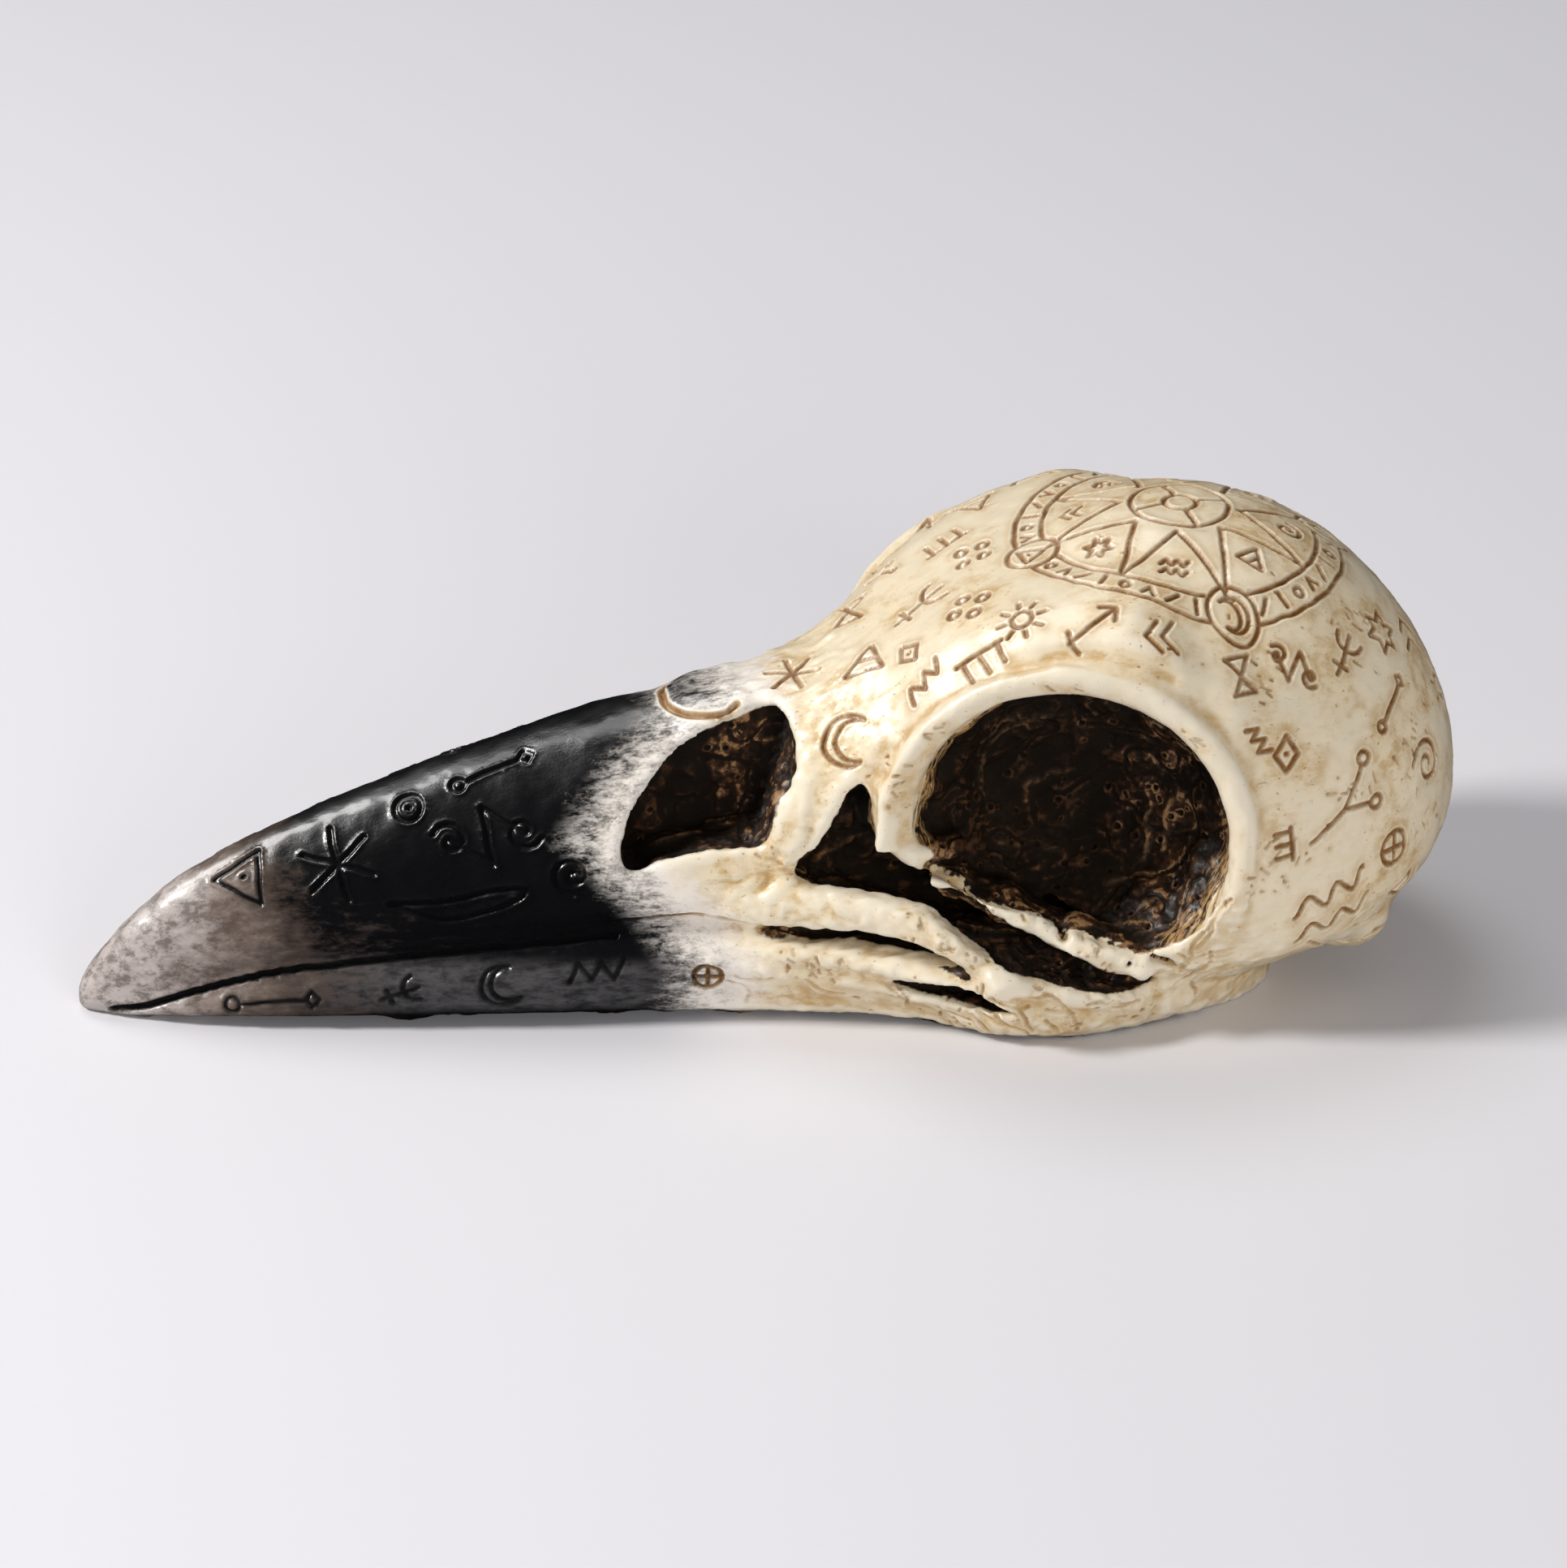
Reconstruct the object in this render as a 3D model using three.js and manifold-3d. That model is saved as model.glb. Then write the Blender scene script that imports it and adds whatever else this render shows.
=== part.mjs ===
// Raven skull ornament: a cast-resin skull with its lower jaw closed, lying on a flat underside.
// Millimetres, +Z up. X runs along the skull, with the beak's tip at -X. Y is the width, and the
// skull is the same on both sides of the XZ plane. The origin is on the floor, below the middle.
//
// Rounded bodies are spheres whose rings are given the skull's own widths and heights. They are
// joined, the hollows are cut out, and the casting is parted by thin cuts into its named regions.
import * as THREE from "three";
import { mergeVertices } from "three/addons/utils/BufferGeometryUtils.js";
import Module from "manifold-3d";

const wasm = await Module();
wasm.setup();

// Driving dimensions
const TIP_X = -105;
const BASE_END_X = 77.5; // the base of the skull, which the jaws run into, ends here
const CUT = 0.3; // width of the thin cuts between named regions
const HORN_END_X = -26; // where the horn of the upper beak meets the bone
const LOWER_HORN_END_X = -15;
const NASAL_END_X = 9; // back of the nasal bone, in front of the eye sockets
const BAR_START_X = 2; // the cheek bars leave the nasal bone here
const BROW_END_X = 67; // front of the braincase, behind the eye sockets
const JAW_END_X = 33; // back of the jaw, in front of its joint
const RIM_CUT_Y = 21; // the eye rims are parted from the forehead at this half width
const JOINT_CUT_Y = 17; // the jaw's joints are parted from the base of the skull here
const BAR_TOP_Z = 26.5; // the cheek bars are all below this height
const BIG = 400; // longer than the skull, for the boxes that cut it

const DOME = { x: 60.5, z: 29, long: 44.5, wide: 37, up: 44.6, down: 26 };
const SOCKET = { x: 40, y: -37, z: 35.5, long: 24.4, deep: 25, tall: 23.2 };
// The eye rim is an ellipse in XZ, open below its front end, which grows wider to the back.
const RIM = { x: 39.5, z: 33, long: 24.9, up: 26, down: 30.8, fromDeg: 184, toDeg: -47, halfWidth: 24.5, flare: 0.225 };

// Profiles along X, each a short list of [x, value]
const culmen = along([
  [-105, 3], [-103, 6.6], [-98, 13], [-91, 19.2], [-80, 25.4],
  [-62, 33], [-38, 40.8], [-18, 45.6], [6, 46.6],
]);
const mouth = along([
  [-110, 0.6], [-98, 1.4], [-92, 3.6], [-80, 7.7], [-66, 10.5], [-44, 13.3], [-14, 16.8],
  [8, 17.2], [26, 14.4], [32, 16], [60, 14], [110, 2],
]);
const beakHalf = along([[-105, 1.6], [-103, 3.2], [-97, 5], [-86, 7.6], [-68, 10.8], [-44, 14.4], [-14, 19], [6, 21]]);
const floorHalf = along([
  [-102, 1], [-98, 3], [-80, 6.6], [-56, 9.4], [-16, 14], [0, 17], [20, 23.4],
  [33, 30.6], [42, 31.2], [56, 28.8], [67, 23.6], [74, 17], [77.5, 7],
]);
const jawFlare = along([[-102, 0.6], [-70, 1.4], [-16, 3.6], [0, 4.4], [25, 5], [40, 3], [77, 1.5]]);
const jawTop = along([[-102, 2], [-92, 4.4], [-66, 11.3], [-14, 17.6], [4, 17], [25, 14.6], [40, 14], [60, 13], [77, 9]]);
const faceTop = along([
  [-20, 42], [-13, 47], [-4, 48.6], [6, 50.6], [14, 54.6], [24, 61], [33, 65.4], [42, 68.2], [52, 70.2], [66, 71.6],
]);
const faceHalf = along([[-20, 15], [-8, 18.6], [4, 21.6], [13, 24.4], [25, 28], [40, 32], [54, 35.4], [66, 36.2]]);
const faceWidest = along([[-20, 22], [4, 27], [25, 34], [66, 38]]);
const faceSquare = along([[-20, 2.1], [4, 2.3], [14, 3], [24, 4.6], [36, 5.2], [46, 4.8], [54, 3.4], [60, 2.5], [66, 2.1]]);

// A smooth curve through [x, value] keys that never overshoots them.
function along(keys) {
  const last = keys.length - 1;
  const slopes = keys.slice(1).map(([x, v], i) => (v - keys[i][1]) / (x - keys[i][0]));
  const tangents = keys.map((_, i) => {
    if (i === 0) return slopes[0];
    if (i === last) return slopes[last - 1];
    const product = slopes[i - 1] * slopes[i];
    return product > 0 ? (2 * product) / (slopes[i - 1] + slopes[i]) : 0;
  });
  return (x) => {
    let i = 0;
    while (i < last - 1 && x > keys[i + 1][0]) i += 1;
    const width = keys[i + 1][0] - keys[i][0];
    const t = THREE.MathUtils.clamp((x - keys[i][0]) / width, 0, 1);
    const rise = keys[i + 1][1] - keys[i][1];
    const ease = t * t * (3 - 2 * t);
    const leave = t * (1 - t) * (1 - t) * tangents[i] * width;
    const arrive = t * t * (1 - t) * tangents[i + 1] * width;
    return keys[i][1] + rise * ease + leave - arrive;
  };
}

// cos or sin of an angle, squared off: 2 leaves it round, and more makes the section boxier.
function squared(value, power) {
  const size = Math.abs(value) < 1e-6 ? 0 : Math.abs(value);
  return Math.sign(value) * size ** (2 / power);
}

// A sphere whose vertices go to place(t, c, s): t is 0 to 1 along its axis, and c and s are the
// cosine and sine round it, both 0 at the two poles.
function formed(sides, rings, place) {
  const geometry = new THREE.SphereGeometry(1, sides, rings);
  const position = geometry.attributes.position;
  for (let i = 0; i < position.count; i += 1) {
    const t = Math.acos(THREE.MathUtils.clamp(position.getY(i), -1, 1)) / Math.PI;
    const round = Math.hypot(position.getX(i), position.getZ(i));
    const pole = round < 1e-5;
    const c = pole ? 0 : position.getX(i) / round;
    const s = pole ? 0 : position.getZ(i) / round;
    position.setXYZ(i, ...place(t, c, s));
  }
  return geometry;
}

// A body along X from one end to the other, with its rings nearer together at the ends.
function loft(from, to, sides, rings, section) {
  return formed(sides, rings, (t, c, s) => {
    const eased = 0.5 * t + 0.25 * (1 - Math.cos(Math.PI * t));
    const x = from + (to - from) * eased;
    return [x, ...section(x, c, s)];
  });
}

// A round-ended bar along a smooth line of points, half as wide as across(t), half as high as tall(t).
function bar(points, across, tall, sides = 8, rings = 10) {
  const spine = new THREE.CatmullRomCurve3(points.map((p) => new THREE.Vector3(...p)), false, "catmullrom");
  const up = new THREE.Vector3(0, 0, 1);
  return formed(sides, rings, (t, c, s) => {
    const ends = Math.sqrt(Math.max(0, 1 - Math.abs(2 * t - 1) ** 5));
    const tangent = spine.getTangent(t);
    const side = new THREE.Vector3().crossVectors(up, tangent).normalize();
    const above = new THREE.Vector3().crossVectors(tangent, side);
    const at = spine.getPoint(t);
    at.addScaledVector(side, c * across(t) * ends);
    at.addScaledVector(above, s * tall(t) * ends);
    return at.toArray();
  });
}

function ellipsoid(centre, radii, sides = 12, rings = 8) {
  return formed(sides, rings, (t, c, s) => {
    const round = Math.sin(Math.PI * t);
    return [
      centre[0] - radii[0] * Math.cos(Math.PI * t),
      centre[1] + radii[1] * round * c,
      centre[2] + radii[2] * round * s,
    ];
  });
}

function box(low, high) {
  const size = high.map((h, i) => h - low[i]);
  const middle = high.map((h, i) => (h + low[i]) / 2);
  return new THREE.BoxGeometry(...size).translate(...middle);
}

// A closed outline in X and Z, from near to far along Y.
function prism(outline, near, far) {
  const shape = new THREE.Shape(outline.map(([x, z]) => new THREE.Vector2(x, z)));
  const geometry = new THREE.ExtrudeGeometry(shape, { depth: far - near, bevelEnabled: false });
  return geometry.rotateX(Math.PI / 2).translate(0, far, 0);
}

// Everything below a curve of X, as one block across the whole width.
function below(curve, from, to, shift) {
  const steps = 24;
  const line = Array.from({ length: steps + 1 }, (_, i) => {
    const x = from + ((to - from) * i) / steps;
    return [x, curve(x) + shift];
  });
  return prism([[from, -BIG / 2], [to, -BIG / 2], ...line.reverse()], -BIG / 2, BIG / 2);
}

// A three.js geometry as a manifold solid.
function solid(geometry) {
  const bare = geometry.clone();
  bare.deleteAttribute("normal");
  bare.deleteAttribute("uv");
  const merged = mergeVertices(bare, 1e-4);
  return new wasm.Manifold(
    new wasm.Mesh({
      numProp: 3,
      vertProperties: new Float32Array(merged.attributes.position.array),
      triVerts: new Uint32Array(merged.index.array),
    }),
  );
}

// The same geometry on the other side of the skull, with its faces turned to point out again.
function opposite(geometry) {
  const other = geometry.clone().scale(1, -1, 1);
  const order = other.index ? Array.from(other.index.array) : Array.from({ length: other.attributes.position.count }, (_, i) => i);
  for (let i = 0; i < order.length; i += 3) [order[i], order[i + 1]] = [order[i + 1], order[i]];
  return other.setIndex(order);
}

const joined = (...geometries) => geometries.map(solid).reduce((sum, next) => sum.add(next));
const bothSides = (...geometries) => joined(...geometries, ...geometries.map(opposite));

// The bodies of the casting

function beak() {
  return loft(TIP_X, 6, 18, 20, (x, c, s) => {
    const low = mouth(x) - 1.5;
    const widest = mouth(x) + 0.12 * (culmen(x) - mouth(x));
    const reach = s > 0 ? culmen(x) - widest : widest - low;
    return [beakHalf(x) * c, widest + reach * s];
  });
}

function face() {
  const low = 9;
  return loft(-20, 66, 28, 16, (x, c, s) => {
    const widest = faceWidest(x);
    const reach = s > 0 ? faceTop(x) - widest : widest - low;
    return [faceHalf(x) * squared(c, faceSquare(x)), widest + reach * squared(s, faceSquare(x))];
  });
}

function dome() {
  return formed(26, 18, (t, c, s) => {
    const round = Math.sin(Math.PI * t);
    const rise = s > 0 ? DOME.up * round ** 1.12 : DOME.down * round;
    const square = s > 0 ? 2.15 : 3;
    return [
      DOME.x - DOME.long * Math.cos(Math.PI * t),
      DOME.wide * round * squared(c, square),
      DOME.z + rise * squared(s, square),
    ];
  });
}

function jaws() {
  const square = 4.4;
  const sunk = 4; // the rounded underside is cut off flat at the floor
  return loft(-102, BASE_END_X, 18, 22, (x, c, s) => {
    const top = jawTop(x);
    const z = (top - sunk) / 2 + ((top + sunk) / 2) * squared(s, square);
    const wider = jawFlare(x) * THREE.MathUtils.clamp(z / 11, 0, 1);
    return [(floorHalf(x) + wider) * squared(c, square), z];
  });
}

function rim() {
  const count = 11;
  const points = Array.from({ length: count }, (_, i) => {
    const angle = THREE.MathUtils.degToRad(RIM.fromDeg + ((RIM.toDeg - RIM.fromDeg) * i) / (count - 1));
    const x = RIM.x + RIM.long * Math.cos(angle);
    const z = RIM.z + (Math.sin(angle) > 0 ? RIM.up : RIM.down) * Math.sin(angle);
    return [x, -(RIM.halfWidth + RIM.flare * (x - RIM.x + RIM.long)), z];
  });
  return bar(points, () => 3, (t) => 2.3 - 0.9 * t, 8, 22);
}

// The knob that hangs down in front of the eye socket, from the front end of the rim.
function knob() {
  return ellipsoid([16.6, -24.8, 33.6], [4.2, 3.6, 5.2], 10, 8);
}

function cheekBar() {
  const points = [[-12, -18, 21.4], [-4, -21.5, 21.4], [4, -24.8, 21.6], [12, -28, 21.2], [21, -31, 19.2], [29, -32.4, 13.6]];
  return bar(points, () => 3, (t) => 3.9 - 1.1 * t, 8, 12);
}

function jawJoint() {
  return ellipsoid([41, -26, 9], [14.5, 8.5, 9], 12, 8);
}

// The knuckle where the cheek bar comes down on the joint.
function knuckle() {
  return ellipsoid([31.5, -29, 11.5], [6, 6.5, 6], 10, 6);
}

// The small process under the back of the braincase.
function backProcess() {
  return ellipsoid([85.5, -18, 11.5], [6.5, 6, 5.6], 10, 6);
}

// The shelf of bone in the floor of the eye socket.
function shelf() {
  const points = [[16, -16, 25.5], [24, -18, 22.5], [34, -18, 19.5], [44, -17, 17]];
  return bar(points, () => 5, () => 2.6, 8, 8);
}

// The hollows

function socket() {
  return ellipsoid([SOCKET.x, SOCKET.y, SOCKET.z], [SOCKET.long, SOCKET.deep, SOCKET.tall], 20, 14);
}

// The space in front of the eye socket and below it, above the cheek bar.
function frontHollow() {
  const outline = [
    [1.5, 25], [8, 36], [12, 40.5], [22, 40], [44, 26], [55, 13], [46, 12], [30, 14.5], [9, 19],
  ];
  return prism(outline, -60, -14);
}

// The opening in front of it, in the nasal bone.
function nostril() {
  const outline = new THREE.Shape();
  outline.moveTo(-24, 30);
  outline.bezierCurveTo(-25, 25, -21, 25, -16, 28.2);
  outline.bezierCurveTo(-12, 29.6, -8, 28.8, -4, 29.2);
  outline.bezierCurveTo(-1.5, 30, -1, 34.5, 1.5, 39);
  outline.bezierCurveTo(3.5, 47, 1.5, 49, -3, 47);
  outline.bezierCurveTo(-12, 43.5, -20, 39, -24, 30);
  const points = outline.getPoints(4).slice(0, -1);
  return prism(points.map((p) => [p.x, p.y]), -60, -7);
}

// The long slit below the cheek bar.
function slit() {
  return prism([[-3, 17.6], [10, 18], [17, 16.8], [25, 14], [26, 13.4], [16, 15], [8, 16.2]], -60, -19);
}

// The window through the side of the jaw, near its back end.
function jawWindow() {
  return ellipsoid([22, -32, 8.8], [7.4, 7, 2], 10, 8);
}

// The hole through the back, for the spinal cord.
function foramen() {
  return ellipsoid([101, 0, 8.5], [9, 5.4, 4.8], 10, 8);
}

const floorBlock = box([-BIG, -BIG, -BIG], [BIG, BIG, 0]);

const whole = joined(beak(), face(), dome(), jaws())
  .add(bothSides(jawJoint(), knuckle(), backProcess()))
  .subtract(bothSides(socket(), frontHollow(), nostril()))
  .add(bothSides(rim(), knob(), cheekBar(), shelf()))
  .subtract(bothSides(slit(), jawWindow()))
  .subtract(joined(foramen(), floorBlock));

// The regions

const sides = { left: -1, right: 1 };
const outside = (sign, half) => (sign < 0 ? [-BIG, -half] : [half, BIG]);

// The space between limits in X, Y and Z, made larger all round by grow. A limit left out is far away.
function space({ x = [-BIG, BIG], y = [-BIG, BIG], z = [-BIG, BIG] }, grow) {
  const limits = [x, y, z];
  return solid(box(limits.map(([low]) => low - grow), limits.map(([, high]) => high + grow)));
}

const region = (limits) => space(limits, -CUT / 2);
const around = (limits) => space(limits, CUT / 2);
const barLimits = (sign) => ({ x: [BAR_START_X, JAW_END_X], y: outside(sign, RIM_CUT_Y), z: [-BIG, BAR_TOP_Z] });

const upper = whole.subtract(solid(below(mouth, -110, BASE_END_X + 1, CUT / 2)));
const lower = whole.intersect(solid(below(mouth, -110, BASE_END_X + 1, -CUT / 2)));

const finish = (color, roughness) => new THREE.MeshStandardMaterial({ color, roughness, metalness: 0 });
const ivory = finish(0xd9c79f, 0.42);
const horn = finish(0x17151a, 0.28);

const group = new THREE.Group();

// Adds the largest body of a solid as a named mesh.
function addNode(name, made, material) {
  const [body] = made.decompose().sort((a, b) => b.volume() - a.volume());
  const { vertProperties, triVerts } = body.getMesh();
  const geometry = new THREE.BufferGeometry();
  geometry.setAttribute("position", new THREE.BufferAttribute(vertProperties, 3));
  geometry.setIndex(new THREE.BufferAttribute(triVerts, 1));
  geometry.computeVertexNormals();
  const mesh = new THREE.Mesh(geometry, material);
  mesh.name = name;
  group.add(mesh);
}

const nasal = upper
  .intersect(region({ x: [HORN_END_X, NASAL_END_X] }))
  .subtract(around(barLimits(sides.left)))
  .subtract(around(barLimits(sides.right)));
const forehead = upper.intersect(region({ x: [NASAL_END_X, BROW_END_X], y: [-RIM_CUT_Y, RIM_CUT_Y] }));
const base = lower.intersect(region({ x: [JAW_END_X, BIG], y: [-JOINT_CUT_Y, JOINT_CUT_Y] }));

addNode("upper_beak", upper.intersect(region({ x: [-BIG, HORN_END_X] })), horn);
addNode("lower_beak", lower.intersect(region({ x: [-BIG, LOWER_HORN_END_X] })), horn);
addNode("nasal_bone", nasal, ivory);
addNode("forehead", forehead, ivory);
addNode("braincase", upper.intersect(region({ x: [BROW_END_X, BIG] })), ivory);
addNode("skull_base", base, ivory);

for (const [side, sign] of Object.entries(sides)) {
  const rimRegion = region({ x: [NASAL_END_X, BROW_END_X], y: outside(sign, RIM_CUT_Y) });
  const jawRegion = region({ x: [LOWER_HORN_END_X, JAW_END_X], y: outside(sign, 0) });
  const jointRegion = region({ x: [JAW_END_X, BIG], y: outside(sign, JOINT_CUT_Y) });
  addNode(`eye_rim_${side}`, upper.intersect(rimRegion), ivory);
  addNode(`cheek_bar_${side}`, upper.intersect(region(barLimits(sign))), ivory);
  addNode(`jaw_${side}`, lower.intersect(jawRegion), ivory);
  addNode(`jaw_joint_${side}`, lower.intersect(jointRegion), ivory);
}

export default group;
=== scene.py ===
# Raven skull ornament of painted cast resin, lying on a pale floor.
# Forms are worked in millimetres in the part's own frame: X from the beak to the back of the skull,
# Y across it with the bird's left side at -Y, Z up from the floor. Each piece ends up in metres.
import math
import random

import bmesh
import bpy
import numpy as np
from mathutils import Matrix, Vector, noise
from mathutils.bvhtree import BVHTree


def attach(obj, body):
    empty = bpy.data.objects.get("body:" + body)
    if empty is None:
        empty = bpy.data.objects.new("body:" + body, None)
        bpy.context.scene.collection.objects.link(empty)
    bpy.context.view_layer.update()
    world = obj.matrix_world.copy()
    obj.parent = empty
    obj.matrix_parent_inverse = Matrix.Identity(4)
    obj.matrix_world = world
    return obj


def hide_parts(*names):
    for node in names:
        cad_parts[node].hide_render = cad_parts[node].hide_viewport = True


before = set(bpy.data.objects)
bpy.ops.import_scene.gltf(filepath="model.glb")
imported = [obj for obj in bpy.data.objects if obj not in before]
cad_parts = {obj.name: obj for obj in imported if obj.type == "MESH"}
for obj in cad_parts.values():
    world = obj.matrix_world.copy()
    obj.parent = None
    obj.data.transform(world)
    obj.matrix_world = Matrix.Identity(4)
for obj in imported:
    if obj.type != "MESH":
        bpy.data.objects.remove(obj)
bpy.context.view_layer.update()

# ---------------------------------------------------------------------------
# Camera and studio. A long lens looks down on the skull's left side. A small key light stands beyond the
# beak, a broad light hangs overhead and a weak one fills the near side without showing in the gloss. The
# sheen light shows only in the gloss. The floor is plain pale card.
# ---------------------------------------------------------------------------
CAMERA_AZIMUTH = math.radians(-8)
CAMERA_ELEVATION = math.radians(27)
CAMERA_DISTANCE = 0.9
CAMERA_AIM = Vector((0.0022, -0.0023, 0.0312))
LENS_MM = 137.6
FLOOR_SIZE = 8.0
FLOOR_COLOUR = (0.775, 0.77, 0.81, 1)
ROOM_COLOUR = (0.86, 0.86, 0.90, 1)
ROOM_STRENGTH = 0.22
# (name, place in m, width in m, power in W, colour, whether it lights matt paint, whether gloss mirrors it)
LIGHTS = (
    ("key_light", (-1.1, -0.02, 0.85), 0.3, 17.0, (1.0, 0.98, 0.95), True, True),
    ("top_light", (-0.15, 0.55, 1.25), 0.7, 4.4, (1.0, 0.99, 0.98), True, True),
    ("sheen_light", (-0.76, 0.46, 1.0), 0.55, 12.0, (1.0, 0.99, 0.98), False, True),
    ("fill_light", (0.4, -1.45, 0.42), 0.8, 10.2, (1.0, 0.985, 0.97), True, False),
)
LIGHTS_AIM = (0, 0, 0.03)


def aimed(data, place, aim):
    """Links a camera or light, placed and turned to look at a point."""
    holder = bpy.data.objects.new(data.name, data)
    bpy.context.scene.collection.objects.link(holder)
    holder.location = place
    holder.rotation_euler = (Vector(place) - Vector(aim)).to_track_quat("Z", "Y").to_euler()
    return holder


view = bpy.data.cameras.new("photo_view")
view.sensor_width = 36
view.lens = LENS_MM
view.clip_start = 0.05
view.clip_end = 20
towards_camera = Vector((
    math.sin(CAMERA_AZIMUTH) * math.cos(CAMERA_ELEVATION),
    -math.cos(CAMERA_AZIMUTH) * math.cos(CAMERA_ELEVATION),
    math.sin(CAMERA_ELEVATION),
))
bpy.context.scene.camera = aimed(view, CAMERA_AIM + towards_camera * CAMERA_DISTANCE, CAMERA_AIM)
bpy.context.scene.view_settings.view_transform = "Standard"

for name, place, size, power, colour, lights_matt, mirrored_in_gloss in LIGHTS:
    lamp = bpy.data.lights.new(name, "AREA")
    lamp.shape = "DISK"
    lamp.size = size
    lamp.energy = power
    lamp.color = colour
    light = aimed(lamp, place, LIGHTS_AIM)
    light.visible_diffuse = lights_matt
    light.visible_glossy = mirrored_in_gloss

world = bpy.data.worlds.new("studio")
bpy.context.scene.world = world
world.use_nodes = True
world.node_tree.nodes["Background"].inputs["Color"].default_value = ROOM_COLOUR
world.node_tree.nodes["Background"].inputs["Strength"].default_value = ROOM_STRENGTH
world.cycles_visibility.glossy = False


def new_material(name):
    """A node material with its Principled BSDF, and the tree they are in."""
    made = bpy.data.materials.new(name)
    made.use_nodes = True
    return made, made.node_tree, made.node_tree.nodes["Principled BSDF"]


card, _, card_shader = new_material("pale_card")
card_shader.inputs["Base Color"].default_value = FLOOR_COLOUR
card_shader.inputs["Roughness"].default_value = 0.6
floor_mesh = bmesh.new()
bmesh.ops.create_grid(floor_mesh, x_segments=1, y_segments=1, size=FLOOR_SIZE / 2)
floor_data = bpy.data.meshes.new("floor")
floor_mesh.to_mesh(floor_data)
floor_mesh.free()
floor_data.materials.append(card)
floor = bpy.data.objects.new("floor", floor_data)
bpy.context.scene.collection.objects.link(floor)
floor.visible_glossy = False  # the gloss of the paint doesn't mirror the bright card

# ---------------------------------------------------------------------------
# The casting before anything is hollowed: beak, face, braincase, closed jaws and the knobs at the back
# of them. Each body is a sphere drawn out along X, with the skull's own widths and heights as its
# rings. One skin is then cast over all of them, and smoothed until they run into each other.
# ---------------------------------------------------------------------------
SKIN_MM = 0.9


def along(keys):
    """A smooth curve through (x, value) keys that never overshoots them."""
    slopes = [(v1 - v0) / (x1 - x0) for (x0, v0), (x1, v1) in zip(keys, keys[1:])]
    tangents = [slopes[0]]
    for before, after in zip(slopes, slopes[1:]):
        tangents.append(2 * before * after / (before + after) if before * after > 0 else 0)
    tangents.append(slopes[-1])

    def value(x):
        i = 0
        while i < len(keys) - 2 and x > keys[i + 1][0]:
            i += 1
        (x0, v0), (x1, v1) = keys[i], keys[i + 1]
        width = x1 - x0
        t = min(1, max(0, (x - x0) / width))
        ease = t * t * (3 - 2 * t)
        leave = t * (1 - t) ** 2 * tangents[i] * width
        arrive = t * t * (1 - t) * tangents[i + 1] * width
        return v0 + (v1 - v0) * ease + leave - arrive

    return value


def squared(value, power):
    """A cosine or sine squared off: a power of 2 leaves a section round, and more makes it boxier."""
    return math.copysign(abs(value) ** (2 / power), value) if abs(value) > 1e-6 else 0.0


def formed(sides, rings, place):
    """A sphere whose vertices go to place(t, c, s): t runs 0 to 1 along it, c and s go round it."""
    form = bmesh.new()
    bmesh.ops.create_uvsphere(form, u_segments=sides, v_segments=rings, radius=1)
    for vert in form.verts:
        t = math.acos(max(-1, min(1, -vert.co.z))) / math.pi
        round_part = math.hypot(vert.co.x, vert.co.y)
        pole = round_part < 1e-5
        vert.co = place(t, 0 if pole else vert.co.x / round_part, 0 if pole else vert.co.y / round_part)
    return form


def loft(start, end, section, sides=72, rings=90):
    """A body along X, with its rings nearer together at the ends."""

    def place(t, c, s):
        x = start + (end - start) * (0.5 * t + 0.25 * (1 - math.cos(math.pi * t)))
        return (x, *section(x, c, s))

    return formed(sides, rings, place)


def ellipsoid(centre, radii, sides=48, rings=32):
    def place(t, c, s):
        girth = math.sin(math.pi * t)
        return (
            centre[0] - radii[0] * math.cos(math.pi * t),
            centre[1] + radii[1] * girth * c,
            centre[2] + radii[2] * girth * s,
        )

    return formed(sides, rings, place)


def gathered(forms, mirrored=True):
    """One mesh of many forms, and of their reflections on the other side of the skull."""
    whole = bmesh.new()
    part = bpy.data.meshes.new("part")
    for form in forms:
        form.to_mesh(part)
        whole.from_mesh(part)
        if mirrored:
            bmesh.ops.scale(form, vec=(1, -1, 1), verts=form.verts)
            bmesh.ops.reverse_faces(form, faces=form.faces)
            form.to_mesh(part)
            whole.from_mesh(part)
        form.free()
    bpy.data.meshes.remove(part)
    made = bpy.data.meshes.new("gathered")
    whole.to_mesh(made)
    whole.free()
    return made


def finished(mesh, *modifiers):
    """The mesh with a list of (type, settings) modifiers applied to it."""
    holder = bpy.data.objects.new("holder", mesh)
    bpy.context.scene.collection.objects.link(holder)
    for kind, settings in modifiers:
        modifier = holder.modifiers.new(kind.lower(), kind)
        for name, value in settings.items():
            setattr(modifier, name, value)
    result = bpy.data.meshes.new_from_object(holder.evaluated_get(bpy.context.evaluated_depsgraph_get()))
    bpy.data.objects.remove(holder)
    return result


def skinned(mesh, voxel, smoothing):
    """One skin over everything in a mesh, smoothed."""
    return finished(
        mesh,
        ("REMESH", {"mode": "VOXEL", "voxel_size": voxel}),
        ("SMOOTH", {"factor": 0.5, "iterations": smoothing}),
    )


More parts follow.
